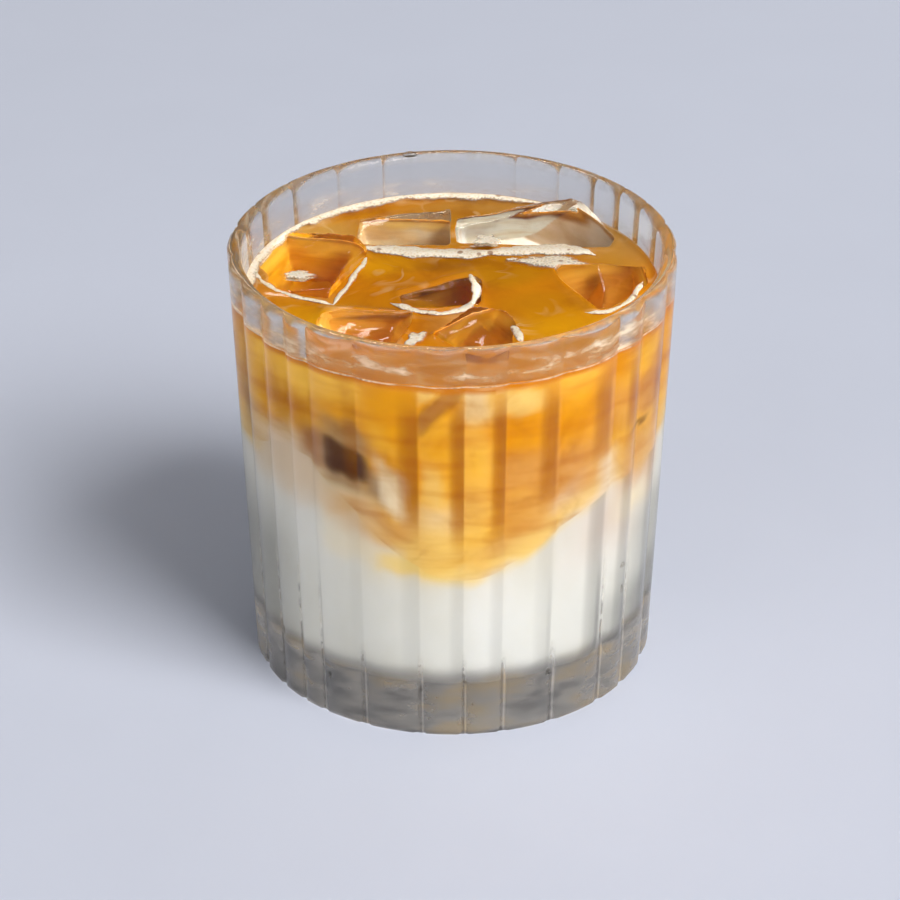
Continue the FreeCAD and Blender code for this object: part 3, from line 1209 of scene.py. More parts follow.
def ice_skins():
    """Each finished cube as its lowest and highest corner seen from above, and a search tree."""
    skins = []
    for name in ICE_NODES:
        mesh = bpy.data.objects[name + "_cube"].data
        points = vertices_of(mesh)
        skin = BVHTree.FromPolygons([Vector(p) for p in points], [p.vertices[:] for p in mesh.polygons])
        skins.append((points[:, :2].min(axis=0), points[:, :2].max(axis=0), skin))
    return skins


# The hollow for a cube is this much smaller than the cube, so that no gap shows at its waterline.
CUBE_OVERLAP = 0.12


def cut_hollows(coffee):
    """Cut a hollow in the coffee for each cube."""
    for name in ICE_NODES:
        mesh = bpy.data.objects[name + "_cube"].data.copy()
        mesh.materials.clear()
        cutter = bpy.data.objects.new("cutter", mesh)
        bpy.context.scene.collection.objects.link(cutter)
        move_vertices(mesh, vertices_of(mesh) - CUBE_OVERLAP * normals_of(mesh))
        cut = coffee.modifiers.new("cut", "BOOLEAN")
        cut.operation = "DIFFERENCE"
        cut.solver = "MANIFOLD"
        cut.object = cutter
        keep_result(coffee)
        bpy.data.objects.remove(cutter)


def build_coffee(look):
    """The coffee: it stands on the milk and closes round the ice, with hollows where the cubes sit."""
    skins = ice_skins()
    lowest = [ring - (0, 0, OVERLAP) for ring in reversed(inner_rings())]
    shares = np.linspace(0, 1, 40)[:, None]
    top = LEVEL + 1.2 * look.meniscus / MM
    wall = wall_points(BOUNDARY[0] + (top - BOUNDARY[0])[None] * shares, look.reach / MM)
    # Rings of the open surface, close together where the liquid climbs the wall.
    edge = bore_radius(LEVEL)
    steps = np.append(edge - np.array([0.15, 0.5, 0.9, 1.4, 2.0, 2.7]), np.arange(edge - 3.3, 1.0, -0.55))
    surface = np.array([points_round(radius, COLUMNS, LEVEL) for radius in steps])
    flat = surface.reshape(-1, 3)
    flat[:, 2] += contact_rise(flat, skins, look)
    flat[:, 2] += 0.12 * ripple(flat, 14.0, 9)
    rings = np.array([*lowest, *wall, *surface])
    points, faces = rings_to_mesh(rings, (0, 0, float(BOUNDARY[-1].mean()) - OVERLAP), (0, 0, LEVEL))
    coffee = make_object("coffee_layer", points, faces, None)
    cut_hollows(coffee)
    mesh = coffee.data
    set_attribute(mesh, "blend", coffee_colours(vertices_of(mesh), skins))
    mesh.set_sharp_from_angle(angle=math.radians(50))
    mesh.materials.clear()
    mesh.materials.append(coffee_material(False))
    mesh.materials.append(coffee_material(True))
    # Faces up to 0.2 mm under the level surface belong to it, because it rolls a little.
    for face in mesh.polygons:
        face.material_index = int(face.center.z > (LEVEL - 0.2) * MM)
    place(coffee, "coffee", "coffee")


class DRINK_OT_milk(Operator):
    """Build the layer of milk"""

    bl_idname = "drink.milk"
    bl_label = "Milk"

    def execute(self, context):
        build_milk(context.scene.drink_look)
        return {"FINISHED"}


class DRINK_OT_coffee(Operator):
    """Build the layer of coffee round the ice"""

    bl_idname = "drink.coffee"
    bl_label = "Coffee"

    def execute(self, context):
        build_coffee(context.scene.drink_look)
        return {"FINISHED"}


# ---------------------------------------------------------------- ice

# Facets that melting cut into the cubes: a point on each, and the way it faces.
CHIPS = {
    "ice_1": (
        ((10.0, 18.2, 78.6), (0.0, -0.573, 0.82)),
        ((20.0, 26.4, 83.6), (-0.19, 0.1, 0.976)),
        ((24.5, 26.0, 83.5), (0.5, -0.1, 0.86)),
    ),
    "ice_2": (
        ((-8.0, 19.4, 78.8), (0.0, -0.5, 0.866)),
        ((-10.0, 25.5, 82.0), (-0.12, 0.35, 0.93)),
    ),
    "ice_3": (((-20.0, 5.0, 80.6), (0.62, -0.15, 0.77)), ((-30.0, -1.5, 79.6), (-0.2, -0.7, 0.68))),
    "ice_4": (
        ((5.2, -2.0, 79.4), (0.8, -0.1, 0.6)),
        ((-3.0, -7.5, 79.6), (-0.1, -0.8, 0.58)),
        ((-2.7, 0.4, 78.8), (-0.11, 0.2, 0.974)),
    ),
    "ice_5": (
        ((29.2, -8.4, 79.2), (-0.5, -0.28, 0.82)),
        ((29.2, -8.4, 79.2), (0.5, -0.39, 0.77)),
        ((30.6, 3.2, 82.6), (0.02, 0.55, 0.83)),
    ),
    "ice_6": (((-9.5, -17.0, 79.8), (0.75, -0.3, 0.6)), ((-16.4, -10.8, 78.9), (-0.02, 0.18, 0.984))),
    "ice_7": (
        ((-1.8, -20.7, 79.2), (-0.223, -0.21, 0.95)),
        ((13.6, -20.7, 79.2), (0.28, -0.256, 0.925)),
        ((7.6, -13.4, 82.2), (0.0, 0.75, 0.66)),
    ),
}

# How far a cube's top, and its other sides, stand out from the flat sides of its CAD solid.
TOP_LIFT = {
    "ice_1": 0.2, "ice_2": 0.5, "ice_3": 1.1, "ice_4": 1.3, "ice_5": 2.0, "ice_6": 1.1, "ice_7": 0.8,
}
SIDE_LIFT = 0.5
# The least coffee between a cube and the glass, and a height under all the cubes.
ICE_TO_GLASS = 0.8
UNDER_ICE = 50.0

# Coffee drawn up over the ice: the cube, the middle of the stain, its half sizes and its strength.
STAINS = (
    ("ice_1", (18.0, 30.0, 82.8), (12.0, 3.6, 2.0), 1.0),
    ("ice_1", (4.0, 24.0, 79.6), (5.0, 4.0, 1.0), 0.8),
    ("ice_4", (-6.5, -4.5, 79.0), (5.5, 2.6, 2.0), 0.9),
    ("ice_4", (-2.0, 4.5, 79.0), (7.0, 2.0, 1.6), 0.6),
    ("ice_5", (28.0, -0.4, 79.5), (2.2, 2.6, 2.0), 0.9),
    ("ice_6", (-15.5, -14.5, 79.2), (7.5, 1.7, 2.0), 0.9),
    ("ice_5", (34.0, 6.0, 81.0), (5.0, 3.0, 2.0), 0.5),
    ("ice_7", (6.0, -20.0, 80.5), (5.0, 4.0, 2.0), 0.5),
)

# How much of each cube's surface is frosted, and how much whiter its edges are, as frost and as a
# painted highlight. Below 0, the edges are clearer too.
FROST = {
    "ice_1": 0.03, "ice_2": 0.05, "ice_3": 0.0, "ice_4": -0.15,
    "ice_5": -0.05, "ice_6": -0.25, "ice_7": -0.2,
}
EDGE_FROST_AND_HIGHLIGHT = 0.35


def ice_material():
    """Clear ice, melting: wet and glossy, white with trapped air in patches, and on its edges also painted
    highlight.
    """
    material, tree = start_material("clear_ice_melting")
    place_in = add(tree, "TexCoord")
    # Shallow dents about 2.5 mm wide.
    dents = add(
        tree, "TexNoise", {"Vector": place_in.outputs["Object"], "Scale": 1 / (2.5 * MM), "Detail": 3.0},
    )
    bump = add(tree, "Bump", {"Strength": 0.22, "Distance": 0.3 * MM, "Height": dents.outputs["Fac"]})
    stain = add(tree, "Attribute", attribute_name="stain")
    tint = add(
        tree, "Mix", {0: stain.outputs["Fac"], 6: linear("#FCFCFB"), 7: linear("#73390A")},
        data_type="RGBA",
    )
    body = add(
        tree, "BsdfPrincipled",
        {
            "Base Color": tint.outputs[2],
            "Transmission Weight": 1.0,
            "IOR": 1.31,
            "Specular Tint": linear("#D8D0C4"),
            "Roughness": 0.02,
            "Normal": bump.outputs["Normal"],
        },
    )
    # Trapped air in streaks about 4 mm long; on the edges the white is painted highlight too.
    frost_and_highlight = add(tree, "Attribute", attribute_name="frost_and_highlight")
    streaks = add(
        tree, "TexNoise",
        {"Vector": place_in.outputs["Object"], "Scale": 1 / (4.0 * MM), "Detail": 6.0, "Roughness": 0.75},
    )
    reach = add(
        tree, "MapRange",
        {
            "Value": streaks.outputs["Fac"],
            "From Min": 0.45,
            "From Max": 0.72,
            "To Min": 0.15,
            "To Max": 2.2,
        },
    )
    share = add(
        tree, "Math", {0: frost_and_highlight.outputs["Fac"], 1: reach.outputs["Result"]},
        operation="MULTIPLY",
        use_clamp=True,
    )
    white = add(
        tree, "BsdfPrincipled",
        {"Base Color": linear("#F1E8DC"), "Roughness": 0.3, "Normal": bump.outputs["Normal"]},
    )
    frosted = add(
        tree, "MixShader", {0: share.outputs["Value"], 1: body.outputs["BSDF"], 2: white.outputs["BSDF"]},
    )
    ray = add(tree, "LightPath")
    clear = add(tree, "BsdfTransparent", {"Color": (0.97, 0.97, 0.97, 1.0)})
    lit = add(
        tree, "MixShader",
        {0: ray.outputs["Is Shadow Ray"], 1: frosted.outputs["Shader"], 2: clear.outputs["BSDF"]},
    )
    add(tree, "OutputMaterial", {"Surface": lit.outputs["Shader"]})
    return material


def flat_sides(mesh):
    """The six largest flat sides of a CAD cube, as (point, outward direction) in millimetres."""
    found = []
    for face in sorted(mesh.polygons, key=lambda p: -p.area):
        normal = face.normal
        for side in found:
            if side[1].dot(normal) > 0.995:
                side[2] += face.area
                break
        else:
            found.append([face.center / MM, normal.copy(), face.area])
    found.sort(key=lambda side: -side[2])
    return [(side[0], side[1]) for side in found[:6]]


def cut_block(centre, planes):
    """A closed block round centre, cut by planes given as (point, outward direction) in millimetres."""
    block = bmesh.new()
    bmesh.ops.create_cube(block, size=70.0)
    bmesh.ops.translate(block, verts=block.verts, vec=centre)
    for point, way in planes:
        everything = [*block.verts, *block.edges, *block.faces]
        cut = bmesh.ops.bisect_plane(
            block, geom=everything, plane_co=point, plane_no=way, clear_outer=True
        )
        edges = [part for part in cut["geom_cut"] if isinstance(part, bmesh.types.BMEdge)]
        if edges:
            bmesh.ops.holes_fill(block, edges=edges)
    bmesh.ops.recalc_face_normals(block, faces=block.faces)
    return block


def cube_object(name, look):
    """A cube's flat sides and facets, cut from a block and rounded a little."""
    low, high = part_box(name)
    planes = []
    for point, way in flat_sides(frame["nodes"][name].data):
        planes.append((point + way * (TOP_LIFT[name] if way.z > 0.7 else SIDE_LIFT), way))
    planes += [(Vector(point), Vector(way)) for point, way in CHIPS[name]]
    block = cut_block((low + high) / 2 / MM, planes)
    bmesh.ops.scale(block, vec=Vector((MM, MM, MM)), verts=block.verts)
    mesh = bpy.data.meshes.new(name + "_cube")
    block.to_mesh(mesh)
    block.free()
    cube = bpy.data.objects.new(name + "_cube", mesh)
    bpy.context.scene.collection.objects.link(cube)
    skin = cube.modifiers.new("skin", "REMESH")
    skin.mode = "VOXEL"
    skin.voxel_size = look.voxel
    even = cube.modifiers.new("even", "SMOOTH")
    even.factor = 0.5
    even.iterations = 2
    keep_result(cube)
    return cube


def melt_cube(mesh, look, seed):
    """Dent a cube by melting, keep it off the glass, and give back its points."""
    points = vertices_of(mesh)
    wear = ripple(points, 8.0, seed) * 0.9 + ripple(points, 3.2, seed + 1) * 0.22 - 0.2
    points = points + normals_of(mesh) * (wear * look.melt / MM)[:, None]
    flat = np.hypot(points[:, 0], points[:, 1])
    bore = np.interp(points[:, 2], [UNDER_ICE, LEVEL], [bore_radius(UNDER_ICE), bore_radius(LEVEL)])
    points[:, :2] *= np.minimum(1.0, (bore - ICE_TO_GLASS) / flat)[:, None]
    move_vertices(mesh, points)
    return points


def edge_share(mesh, points):
    """1 on edges that stand proud, which hold more air and take a painted highlight, and 0 on flat sides.
    """
    edges = np.empty(len(mesh.edges) * 2, int)
    mesh.edges.foreach_get("vertices", edges)
    edges = edges.reshape(-1, 2)
    count = np.bincount(edges.ravel(), minlength=len(points))[:, None]
    softer = points.copy()
    for _ in range(6):
        total = np.zeros_like(softer)
        np.add.at(total, edges[:, 0], softer[edges[:, 1]])
        np.add.at(total, edges[:, 1], softer[edges[:, 0]])
        softer = total / count
    proud = np.einsum("ij,ij->i", points - softer, normals_of(mesh))
    return soft_step(0.22, 0.5, proud)


def stain_share(name, points):
    """How much coffee is drawn up over a cube at each point."""
    stain = np.zeros(len(points))
    for owner, middle, half, strength in STAINS:
        if owner == name:
            away = ((points - middle) / half) ** 2
            stain = np.maximum(stain, strength * np.exp(-(away.sum(axis=1) ** 1.5)))
    return stain


def build_ice(look):
    """The seven cubes: the flat sides of their CAD solids, chipped, then rounded and dented by melting."""
    material = ice_material()
    for number, name in enumerate(ICE_NODES):
        cube = cube_object(name, look)
        mesh = cube.data
        points = melt_cube(mesh, look, look.seed + 10 * number)
        mesh.polygons.foreach_set("use_smooth", [True] * len(mesh.polygons))
        mesh.materials.append(material)
        frost_and_highlight = FROST[name] + EDGE_FROST_AND_HIGHLIGHT * edge_share(mesh, points)
        set_attribute(mesh, "frost_and_highlight", np.clip(frost_and_highlight, 0, 1))
        set_attribute(mesh, "stain", stain_share(name, points))
        place(cube, "ice", name)


class DRINK_OT_ice(Operator):
    """Build the melting ice cubes"""

    bl_idname = "drink.ice"
    bl_label = "Ice"

    def execute(self, context):
        build_ice(context.scene.ice_look)
        return {"FINISHED"}


# ---------------------------------------------------------------- foam


def foam_material():
    """Milk froth, poured: matt cream, full of tiny bubbles."""
    material, tree = start_material("milk_froth_poured")
    place_in = add(tree, "TexCoord")
    # Bubbles about 0.6 mm wide, and here and there an open one up to 1.5 mm wide, dark inside. Most
    # real ones are finer, and are drawn this coarse so that they show.
    cells = add(
        tree, "TexVoronoi",
        {"Vector": place_in.outputs["Object"], "Scale": 1 / (0.6 * MM), "Randomness": 1.0},
    )
    fine = add(
        tree, "ValToRGB", {"Fac": cells.outputs["Distance"]},
        stops=[(0.1, linear("#DFC69C")), (0.5, linear("#F1E4CE"))],
    )
    holes = add(
        tree, "TexVoronoi",
        {"Vector": place_in.outputs["Object"], "Scale": 1 / (2.0 * MM), "Randomness": 0.85},
    )
    open_ones = add(tree, "SeparateColor", {"Color": holes.outputs["Color"]})
    size = add(
        tree, "MapRange",
        {"Value": open_ones.outputs[0], "From Min": 0.2, "From Max": 1.0, "To Min": 0.0, "To Max": 0.38},
    )
    inside = add(
        tree, "Math", {0: size.outputs["Result"], 1: holes.outputs["Distance"]},
        operation="SUBTRACT",
    )
    dark = add(
        tree, "MapRange",
        {"Value": inside.outputs["Value"], "From Min": 0.0, "From Max": 0.1, "To Min": 0.0, "To Max": 0.75},
    )
    tone = add(
        tree, "Mix", {0: dark.outputs["Result"], 6: fine.outputs["Color"], 7: linear("#8A5826")},
        data_type="RGBA",
    )
    bump = add(
        tree, "Bump", {"Strength": 0.5, "Distance": 0.15 * MM, "Height": cells.outputs["Distance"]},
    )
    body = add(
        tree, "BsdfPrincipled",
        {
            "Base Color": tone.outputs[2],
            "Roughness": 0.35,
            "Subsurface Weight": 0.4,
            "Subsurface Radius": (1.0, 0.8, 0.55),
            "Subsurface Scale": 0.8 * MM,
            "Normal": bump.outputs["Normal"],
        },
    )
    # At its edge the froth is one bubble deep, and the drink shows between the bubbles.
    lace = add(tree, "Attribute", attribute_name="lace")
    films = add(
        tree, "TexVoronoi",
        {"Vector": place_in.outputs["Object"], "Scale": 1 / (0.9 * MM), "Randomness": 1.0},
        feature="DISTANCE_TO_EDGE",
    )
    gap = add(tree, "MapRange", {"Value": films.outputs["Distance"], "From Min": 0.1, "From Max": 0.2})
    open_share = add(
        tree, "Math", {0: gap.outputs["Result"], 1: lace.outputs["Fac"]},
        operation="MULTIPLY",
        use_clamp=True,
    )
    rim = add(
        tree, "MapRange", {"Value": lace.outputs["Fac"], "From Min": 0.45, "From Max": 1.05},
        interpolation_type="SMOOTHSTEP",
    )
    open_share = add(
        tree, "Math", {0: rim.outputs["Result"], 1: open_share.outputs["Value"]},
        operation="MAXIMUM",
    )
    clear = add(tree, "BsdfTransparent", {"Color": (1.0, 1.0, 1.0, 1.0)})
    laced = add(
        tree, "MixShader",
        {0: open_share.outputs["Value"], 1: body.outputs["BSDF"], 2: clear.outputs["BSDF"]},
    )
    add(tree, "OutputMaterial", {"Surface": laced.outputs["Shader"]})
    return material


# Froth caught against the ice: its name, its usual width, and points (x, y) on its middle line.
FROTH_BANDS = (
    ("back_band", 5.8, (
        (-18.2, 19.0), (-16.0, 17.4), (-10.7, 16.5), (-5.4, 15.7), (0.0, 15.4), (3.8, 15.0),
        (7.1, 15.6), (11.1, 16.3), (16.4, 17.0), (21.7, 17.1), (26.3, 16.4), (28.4, 15.0),
    )),
    ("left_line", 1.6, ((-39.6, 10.0), (-38.0, 4.6), (-34.6, -0.4), (-29.3, -3.9), (-23.1, -6.2))),
    ("left_edge", 1.4, ((-23.1, -6.2), (-20.9, 0.3), (-18.5, 8.2), (-16.6, 14.7))),
    ("middle_line", 2.2, (
        (-11.9, -5.4), (-10.4, -7.2), (-6.6, -9.3), (-2.7, -10.4), (1.2, -9.5), (4.1, -6.0),
        (4.9, -2.1), (4.2, 3.6), (3.0, 7.9),
    )),
    ("right_line", 1.6, ((25.7, -9.4), (28.9, -10.3), (32.2, -8.0), (35.2, -3.8), (37.1, 3.3))),
    ("front_fleck", 2.0, ((11.4, -15.4), (12.6, -17.7), (13.0, -22.0))),
)
# The middle of a bead of froth lies this high, so that most of it stands out of the drink.
BEAD_LEVEL = LEVEL + 0.08
BEAD_SIDES = 14

# Loose rafts of froth: name, middle (x, y), half width, half depth, turn in degrees, and height over
# the surface.
FROTH_RAFTS = (
    ("back_raft", 19.8, 11.4, 7.6, 2.9, -4.0, 0.1),
    ("front_raft", -7.0, -20.8, 1.9, 3.4, -28.0, 0.0),
    ("small_raft", 12.0, 12.6, 1.6, 0.7, 10.0, 0.0),
    ("cube_raft", -30.2, 2.2, 3.6, 2.2, 8.0, 1.9),
    ("ridge_raft", 7.0, 18.2, 2.9, 2.6, 15.0, 1.6),
)
# Rings of a raft from its underside to its top: share of its width, and height.
RAFT_RINGS = ((0.4, -0.2), (0.8, -0.15), (0.97, 0.0), (1.0, 0.2), (0.95, 0.4), (0.8, 0.55), (0.5, 0.62))
RAFT_SIDES = 64


def froth_band(name, width, path, material, seed):
    """A tapering bead of froth along a path on the surface of the drink."""
    path = np.array(path)
    lengths = np.append(0, np.cumsum(np.hypot(*np.diff(path, axis=0).T)))
    count = max(int(lengths[-1] / 0.45), 8)
    along = np.linspace(0, lengths[-1], count)
    # A few passes of averaging round the corners of the path.
    line = np.stack([np.interp(along, lengths, path[:, i]) for i in (0, 1)], axis=-1)
    for _ in range(14):
        line[1:-1] = (line[:-2] + 2 * line[1:-1] + line[2:]) / 4
    ahead = np.gradient(line, axis=0)
    ahead /= np.linalg.norm(ahead, axis=1)[:, None]
    across = np.stack([ahead[:, 1], -ahead[:, 0]], axis=-1)
    share = along / lengths[-1]
    spots = np.column_stack([line, np.zeros(count)])
    wide = width * 0.5 * (0.8 + 0.5 * ripple(spots, 4.5, seed) + 0.2 * ripple(spots, 1.2, seed + 1))
    wide = np.clip(wide, 0.16, None) * soft_step(-0.02, 0.12, share) * soft_step(1.02, 0.88, share) + 0.05
    line = line + across * (0.35 * ripple(spots, 3.5, seed + 2))[:, None]
    rings = np.empty((count, BEAD_SIDES, 3))
    for k in range(BEAD_SIDES):
        turn = 2 * math.pi * k / BEAD_SIDES
        tall = np.minimum(0.75, 0.8 * wide) * (1.0 if math.sin(turn) > 0 else 0.4)
        rings[:, k, :2] = line + across * (wide * math.cos(turn))[:, None]
        rings[:, k, 2] = BEAD_LEVEL + tall * math.sin(turn)
    rings[:, :, 2] += 0.12 * ripple(rings.reshape(-1, 3), 0.9, seed + 3).reshape(count, BEAD_SIDES)
    points, faces = rings_to_mesh(rings, np.append(line[0], BEAD_LEVEL), np.append(line[-1], BEAD_LEVEL))
    froth = make_object("froth_" + name, points, faces, material)
    thin = soft_step(0.55, 0.95, np.abs(np.cos(2 * math.pi * np.arange(BEAD_SIDES) / BEAD_SIDES)))
    set_attribute(froth.data, "lace", np.append(np.tile(thin, count), (1.0, 1.0)))
    return froth


def ragged_edge(angles, size, depth, seed):
    """Steps in and out, up to depth, at each angle round a raft. A larger size gives finer steps."""
    spots = [Vector((size * math.cos(angle), size * math.sin(angle), seed)) for angle in angles]
    return np.array([depth * noise.noise(spot) for spot in spots])


def froth_raft(name, x, y, wide, deep, turn, lift, material, seed):
    """A flat raft of froth with a ragged edge."""
    angles = np.linspace(0, 2 * math.pi, RAFT_SIDES, endpoint=False)
    edge = 1 + ragged_edge(angles, 1.5, 0.5, seed)
    edge += ragged_edge(angles, 4, 0.12, seed)
    c, s = math.cos(math.radians(turn)), math.sin(math.radians(turn))
    base = LEVEL + lift
    rings = []
    lace = []
    for share, height in RAFT_RINGS:
        px, py = wide * edge * share * np.cos(angles), deep * edge * share * np.sin(angles)
        level = np.full(RAFT_SIDES, base + height)
        rings.append(np.stack([x + c * px - s * py, y + s * px + c * py, level], axis=-1))
        lace += [float(soft_step(0.55, 0.9, share))] * RAFT_SIDES
    points, faces = rings_to_mesh(np.array(rings), (x, y, base - 0.2), (x, y, base + 0.65))
    points[:, 2] += 0.15 * ripple(points, 1.2, seed)
    froth = make_object("froth_" + name, points, faces, material)
    patchy = 0.3 * soft_step(-0.1, 0.5, ripple(points, 2.5, seed + 1))
    set_attribute(froth.data, "lace", np.clip(np.append(lace, (0, 0)) + patchy, 0, 1))
    return froth


# The ring of froth at the wall: how far it reaches into the glass, how far over the level surface its
# middle lies, and the angles round its section.
RING_IN_WALL = 0.33
RING_RISE = 1.15
RING_TURNS = range(0, 360, 24)


def wall_froth(look, material):
    """The ragged ring of froth where the coffee meets the wall, thickest at the back left."""
    wall = bore_radius(LEVEL + 1.0)
    spots = points_round(40, COLUMNS, 0)
    facing = soft_step(0.3, 0.9, 0.5 - 0.5 * np.cos(np.radians(COLUMNS - 45)))
    ragged = 0.5 * ripple(spots, 9.0, look.seed) + 0.35 * ripple(spots, 3.0, look.seed + 1)
    wide = np.clip((0.25 + 2.2 * facing) * (1 + ragged), 0.12, None)
    tall = np.clip(0.14 + 0.55 * facing + 0.25 * ragged, 0.08, None)
    rings = []
    for turn in RING_TURNS:
        c, s = math.cos(math.radians(turn)), math.sin(math.radians(turn))
        radius = wall + RING_IN_WALL - wide * 0.5 * (1 - c)
        height = LEVEL + RING_RISE + tall * s - 0.3 * wide * 0.5 * (1 - c)
        rings.append(points_round(radius, COLUMNS, height))
    rows, columns = len(rings), len(COLUMNS)
    points = np.array(rings).reshape(-1, 3)
    points += 0.08 * np.stack([ripple(points, 0.8, k) for k in (41, 42, 43)], axis=-1)
    faces = []
    for i in range(rows):
        for j in range(columns):
            k, m = (j + 1) % columns, (i + 1) % rows
            faces.append((i * columns + j, i * columns + k, m * columns + k, m * columns + j))
    froth = make_object("wall_froth", points, faces, material)
    inward = -np.cos(np.radians(RING_TURNS))
    thin = np.repeat(soft_step(0.0, 0.8, inward), columns) + 0.5 * np.tile(1 - facing, rows)
    thin += 0.35 * soft_step(-0.1, 0.5, ripple(points, 4.0, look.seed + 2))
    set_attribute(froth.data, "lace", np.clip(thin, 0, 1))
    return froth


def build_foam(look):
    """The froth: a ragged ring at the wall, beads along the ice and loose rafts."""
    material = foam_material()
    place(wall_froth(look, material), "foam", "foam_ring")
    for number, (name, width, path) in enumerate(FROTH_BANDS):
        place(froth_band(name, width, path, material, 50 + 5 * number), "foam")
    for number, (name, *shape) in enumerate(FROTH_RAFTS):
        place(froth_raft(name, *shape, material, 90 + 5 * number), "foam")


class DRINK_OT_foam(Operator):
    """Build the froth at the wall and at the ice"""

    bl_idname = "drink.foam"
    bl_label = "Foam"

    def execute(self, context):
        build_foam(context.scene.ice_look)
        return {"FINISHED"}


# ---------------------------------------------------------------- stage


def floor_material(look):
    """Board, painted matt: plain and pale with barely visible mottling."""
    material, tree = start_material("painted_board_matt")
    place_in = add(tree, "TexCoord")
    # Mottling about 30 mm wide.
    mottle = add(
        tree, "TexNoise", {"Vector": place_in.outputs["Object"], "Scale": 1 / (30 * MM), "Detail": 5.0},
    )
    base = (*look.floor, 1.0)
    tone = add(
        tree, "ValToRGB", {"Fac": mottle.outputs["Fac"]},
        stops=[(0.3, tuple(c * 0.985 for c in base)), (0.7, base)],
    )
    body = add(
        tree, "BsdfPrincipled",
        {"Base Color": tone.outputs["Color"], "Roughness": 0.8, "Specular IOR Level": 0.2},
    )
    add(tree, "OutputMaterial", {"Surface": body.outputs["BSDF"]})
    return material


# Half the width of the floor. It lies a little under the glass, so that their faces never share a plane.
FLOOR_SIDE = 4000
FLOOR_DROP = 0.1 * MM
CAMERA_SPOT = (0.0, -0.7654, 0.4737)
CAMERA_AIM = (-0.0004, 0.0, 0.0423)


def aim_and_link(thing, aim=(0.0, 0.0, 0.0)):
    """Turn a lamp or the camera to face a point, and put it in the scene."""
    thing.rotation_euler = (Vector(aim) - thing.location).to_track_quat("-Z", "Y").to_euler()
    bpy.context.scene.collection.objects.link(thing)


def area_light(name, wide, tall, power, spot):
    """A soft rectangular lamp at spot that faces the foot of the glass. Its sizes are in metres."""
    lamp = bpy.data.lights.new(name, "AREA")
    lamp.shape = "RECTANGLE"
    lamp.size = wide
    lamp.size_y = tall
    lamp.energy = power
    made = bpy.data.objects.new(name, lamp)
    made.location = spot
    aim_and_link(made)
    return made


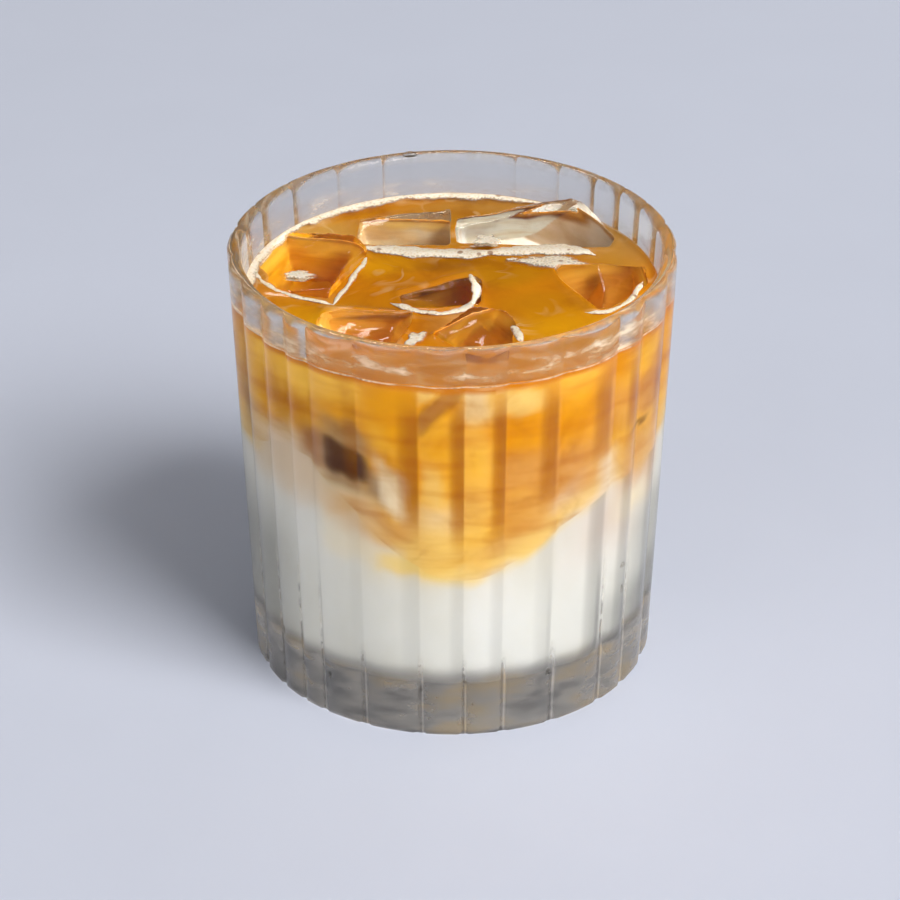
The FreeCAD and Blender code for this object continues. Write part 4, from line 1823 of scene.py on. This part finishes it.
def build_stage(look):
    """The floor, the soft light and the camera."""
    side = FLOOR_SIDE
    corners = [(-side, -side, 0), (side, -side, 0), (side, side, 0), (-side, side, 0)]
    floor = make_object("floor", corners, [(0, 1, 2, 3)], floor_material(look), smooth=False)
    floor.location.z = -FLOOR_DROP

    world = bpy.data.worlds.new("soft_room")
    world.use_nodes = True
    tree = world.node_tree
    tree.nodes.clear()
    place_in = add(tree, "TexCoord")
    apart = add(tree, "SeparateXYZ", {"Vector": place_in.outputs["Generated"]})
    sky = add(
        tree, "ValToRGB", {"Fac": apart.outputs["Z"]},
        stops=[(0.0, linear("#8E9096")), (0.25, linear("#A4A8B0")), (1.0, linear("#FFFFFF"))],
    )
    light = add(tree, "Background", {"Color": sky.outputs["Color"], "Strength": look.fill})
    # Mirrors and glass show a brighter ceiling than the one that lights the drink.
    ceiling = add(
        tree, "ValToRGB", {"Fac": apart.outputs["Z"]},
        stops=[(0.0, grey(0.08)), (0.5, grey(0.1)), (0.9, grey(0.75))],
    )
    shown = add(tree, "Background", {"Color": ceiling.outputs["Color"], "Strength": 1.0})
    ray = add(tree, "LightPath")
    seen = add(
        tree, "Math", {0: ray.outputs["Is Camera Ray"], 1: ray.outputs["Is Glossy Ray"]},
        operation="MAXIMUM",
    )
    seen = add(
        tree, "Math", {0: seen.outputs["Value"], 1: ray.outputs["Is Transmission Ray"]},
        operation="MAXIMUM",
    )
    mixed = add(
        tree, "MixShader",
        {0: seen.outputs["Value"], 1: light.outputs["Background"], 2: shown.outputs["Background"]},
    )
    add(tree, "OutputWorld", {"Surface": mixed.outputs["Shader"]})
    bpy.context.scene.world = world

    key = area_light("key", 1.6, 1.6, look.key, (1.655, -1.543, 2.263))
    key.data.color = (1.0, 0.99, 0.975)
    # A low card in front at the left lifts that side of the glass.
    area_light("card", 0.9, 0.5, 5.0, (-1.0, -1.05, 0.3))
    # A card behind at the right keeps the far side from going dull.
    back = area_light("back_card", 1.2, 0.6, 5.0, (0.9, 1.6, 0.42))
    back.visible_glossy = False
    back.visible_transmission = False
    # A narrow lamp high behind the drink, seen only as glints on wet edges.
    glint = area_light("glint", 0.7, 0.12, 5.0, (-0.25, 0.85, 1.3))
    glint.visible_diffuse = False

    view = bpy.data.cameras.new("camera")
    view.lens = look.lens
    view.sensor_width = 36.0
    view.clip_start = 0.01
    camera = bpy.data.objects.new("camera", view)
    camera.location = CAMERA_SPOT
    aim_and_link(camera, CAMERA_AIM)
    bpy.context.scene.camera = camera
    bpy.context.scene.view_settings.view_transform = "Standard"


class DRINK_OT_stage(Operator):
    """Build the floor, the light and the camera"""

    bl_idname = "drink.stage"
    bl_label = "Stage"

    def execute(self, context):
        build_stage(context.scene.stage_look)
        return {"FINISHED"}


# ---------------------------------------------------------------- panel and registration


class DRINK_PT_panel(Panel):
    """Lists the parts of the drink"""

    bl_label = "Drink"
    bl_idname = "DRINK_PT_panel"
    bl_space_type = "VIEW_3D"
    bl_region_type = "UI"
    bl_category = "Drink"

    def draw(self, context):
        for step in STEPS:
            self.layout.operator(step.bl_idname)


LOOKS = {
    "glass_look": GlassLook,
    "drink_look": DrinkLook,
    "ice_look": IceLook,
    "stage_look": StageLook,
}
STEPS = (DRINK_OT_stage, DRINK_OT_glass, DRINK_OT_milk, DRINK_OT_ice, DRINK_OT_coffee, DRINK_OT_foam)


def register():
    """Make the looks, the operators and the panel known to Blender."""
    for look in LOOKS.values():
        bpy.utils.register_class(look)
    for name, look in LOOKS.items():
        setattr(bpy.types.Scene, name, PointerProperty(type=look))
    for step in STEPS:
        bpy.utils.register_class(step)
    bpy.utils.register_class(DRINK_PT_panel)


def unregister():
    """Take the panel, the operators and the looks away again."""
    bpy.utils.unregister_class(DRINK_PT_panel)
    for step in reversed(STEPS):
        bpy.utils.unregister_class(step)
    for name in LOOKS:
        delattr(bpy.types.Scene, name)
    for look in LOOKS.values():
        bpy.utils.unregister_class(look)


def main():
    """Build everything."""
    register()
    bpy.ops.drink.stage()
    bpy.ops.drink.glass()
    bpy.ops.drink.milk()
    bpy.ops.drink.ice()
    bpy.ops.drink.coffee()
    bpy.ops.drink.foam()


if __name__ == "__main__":
    main()
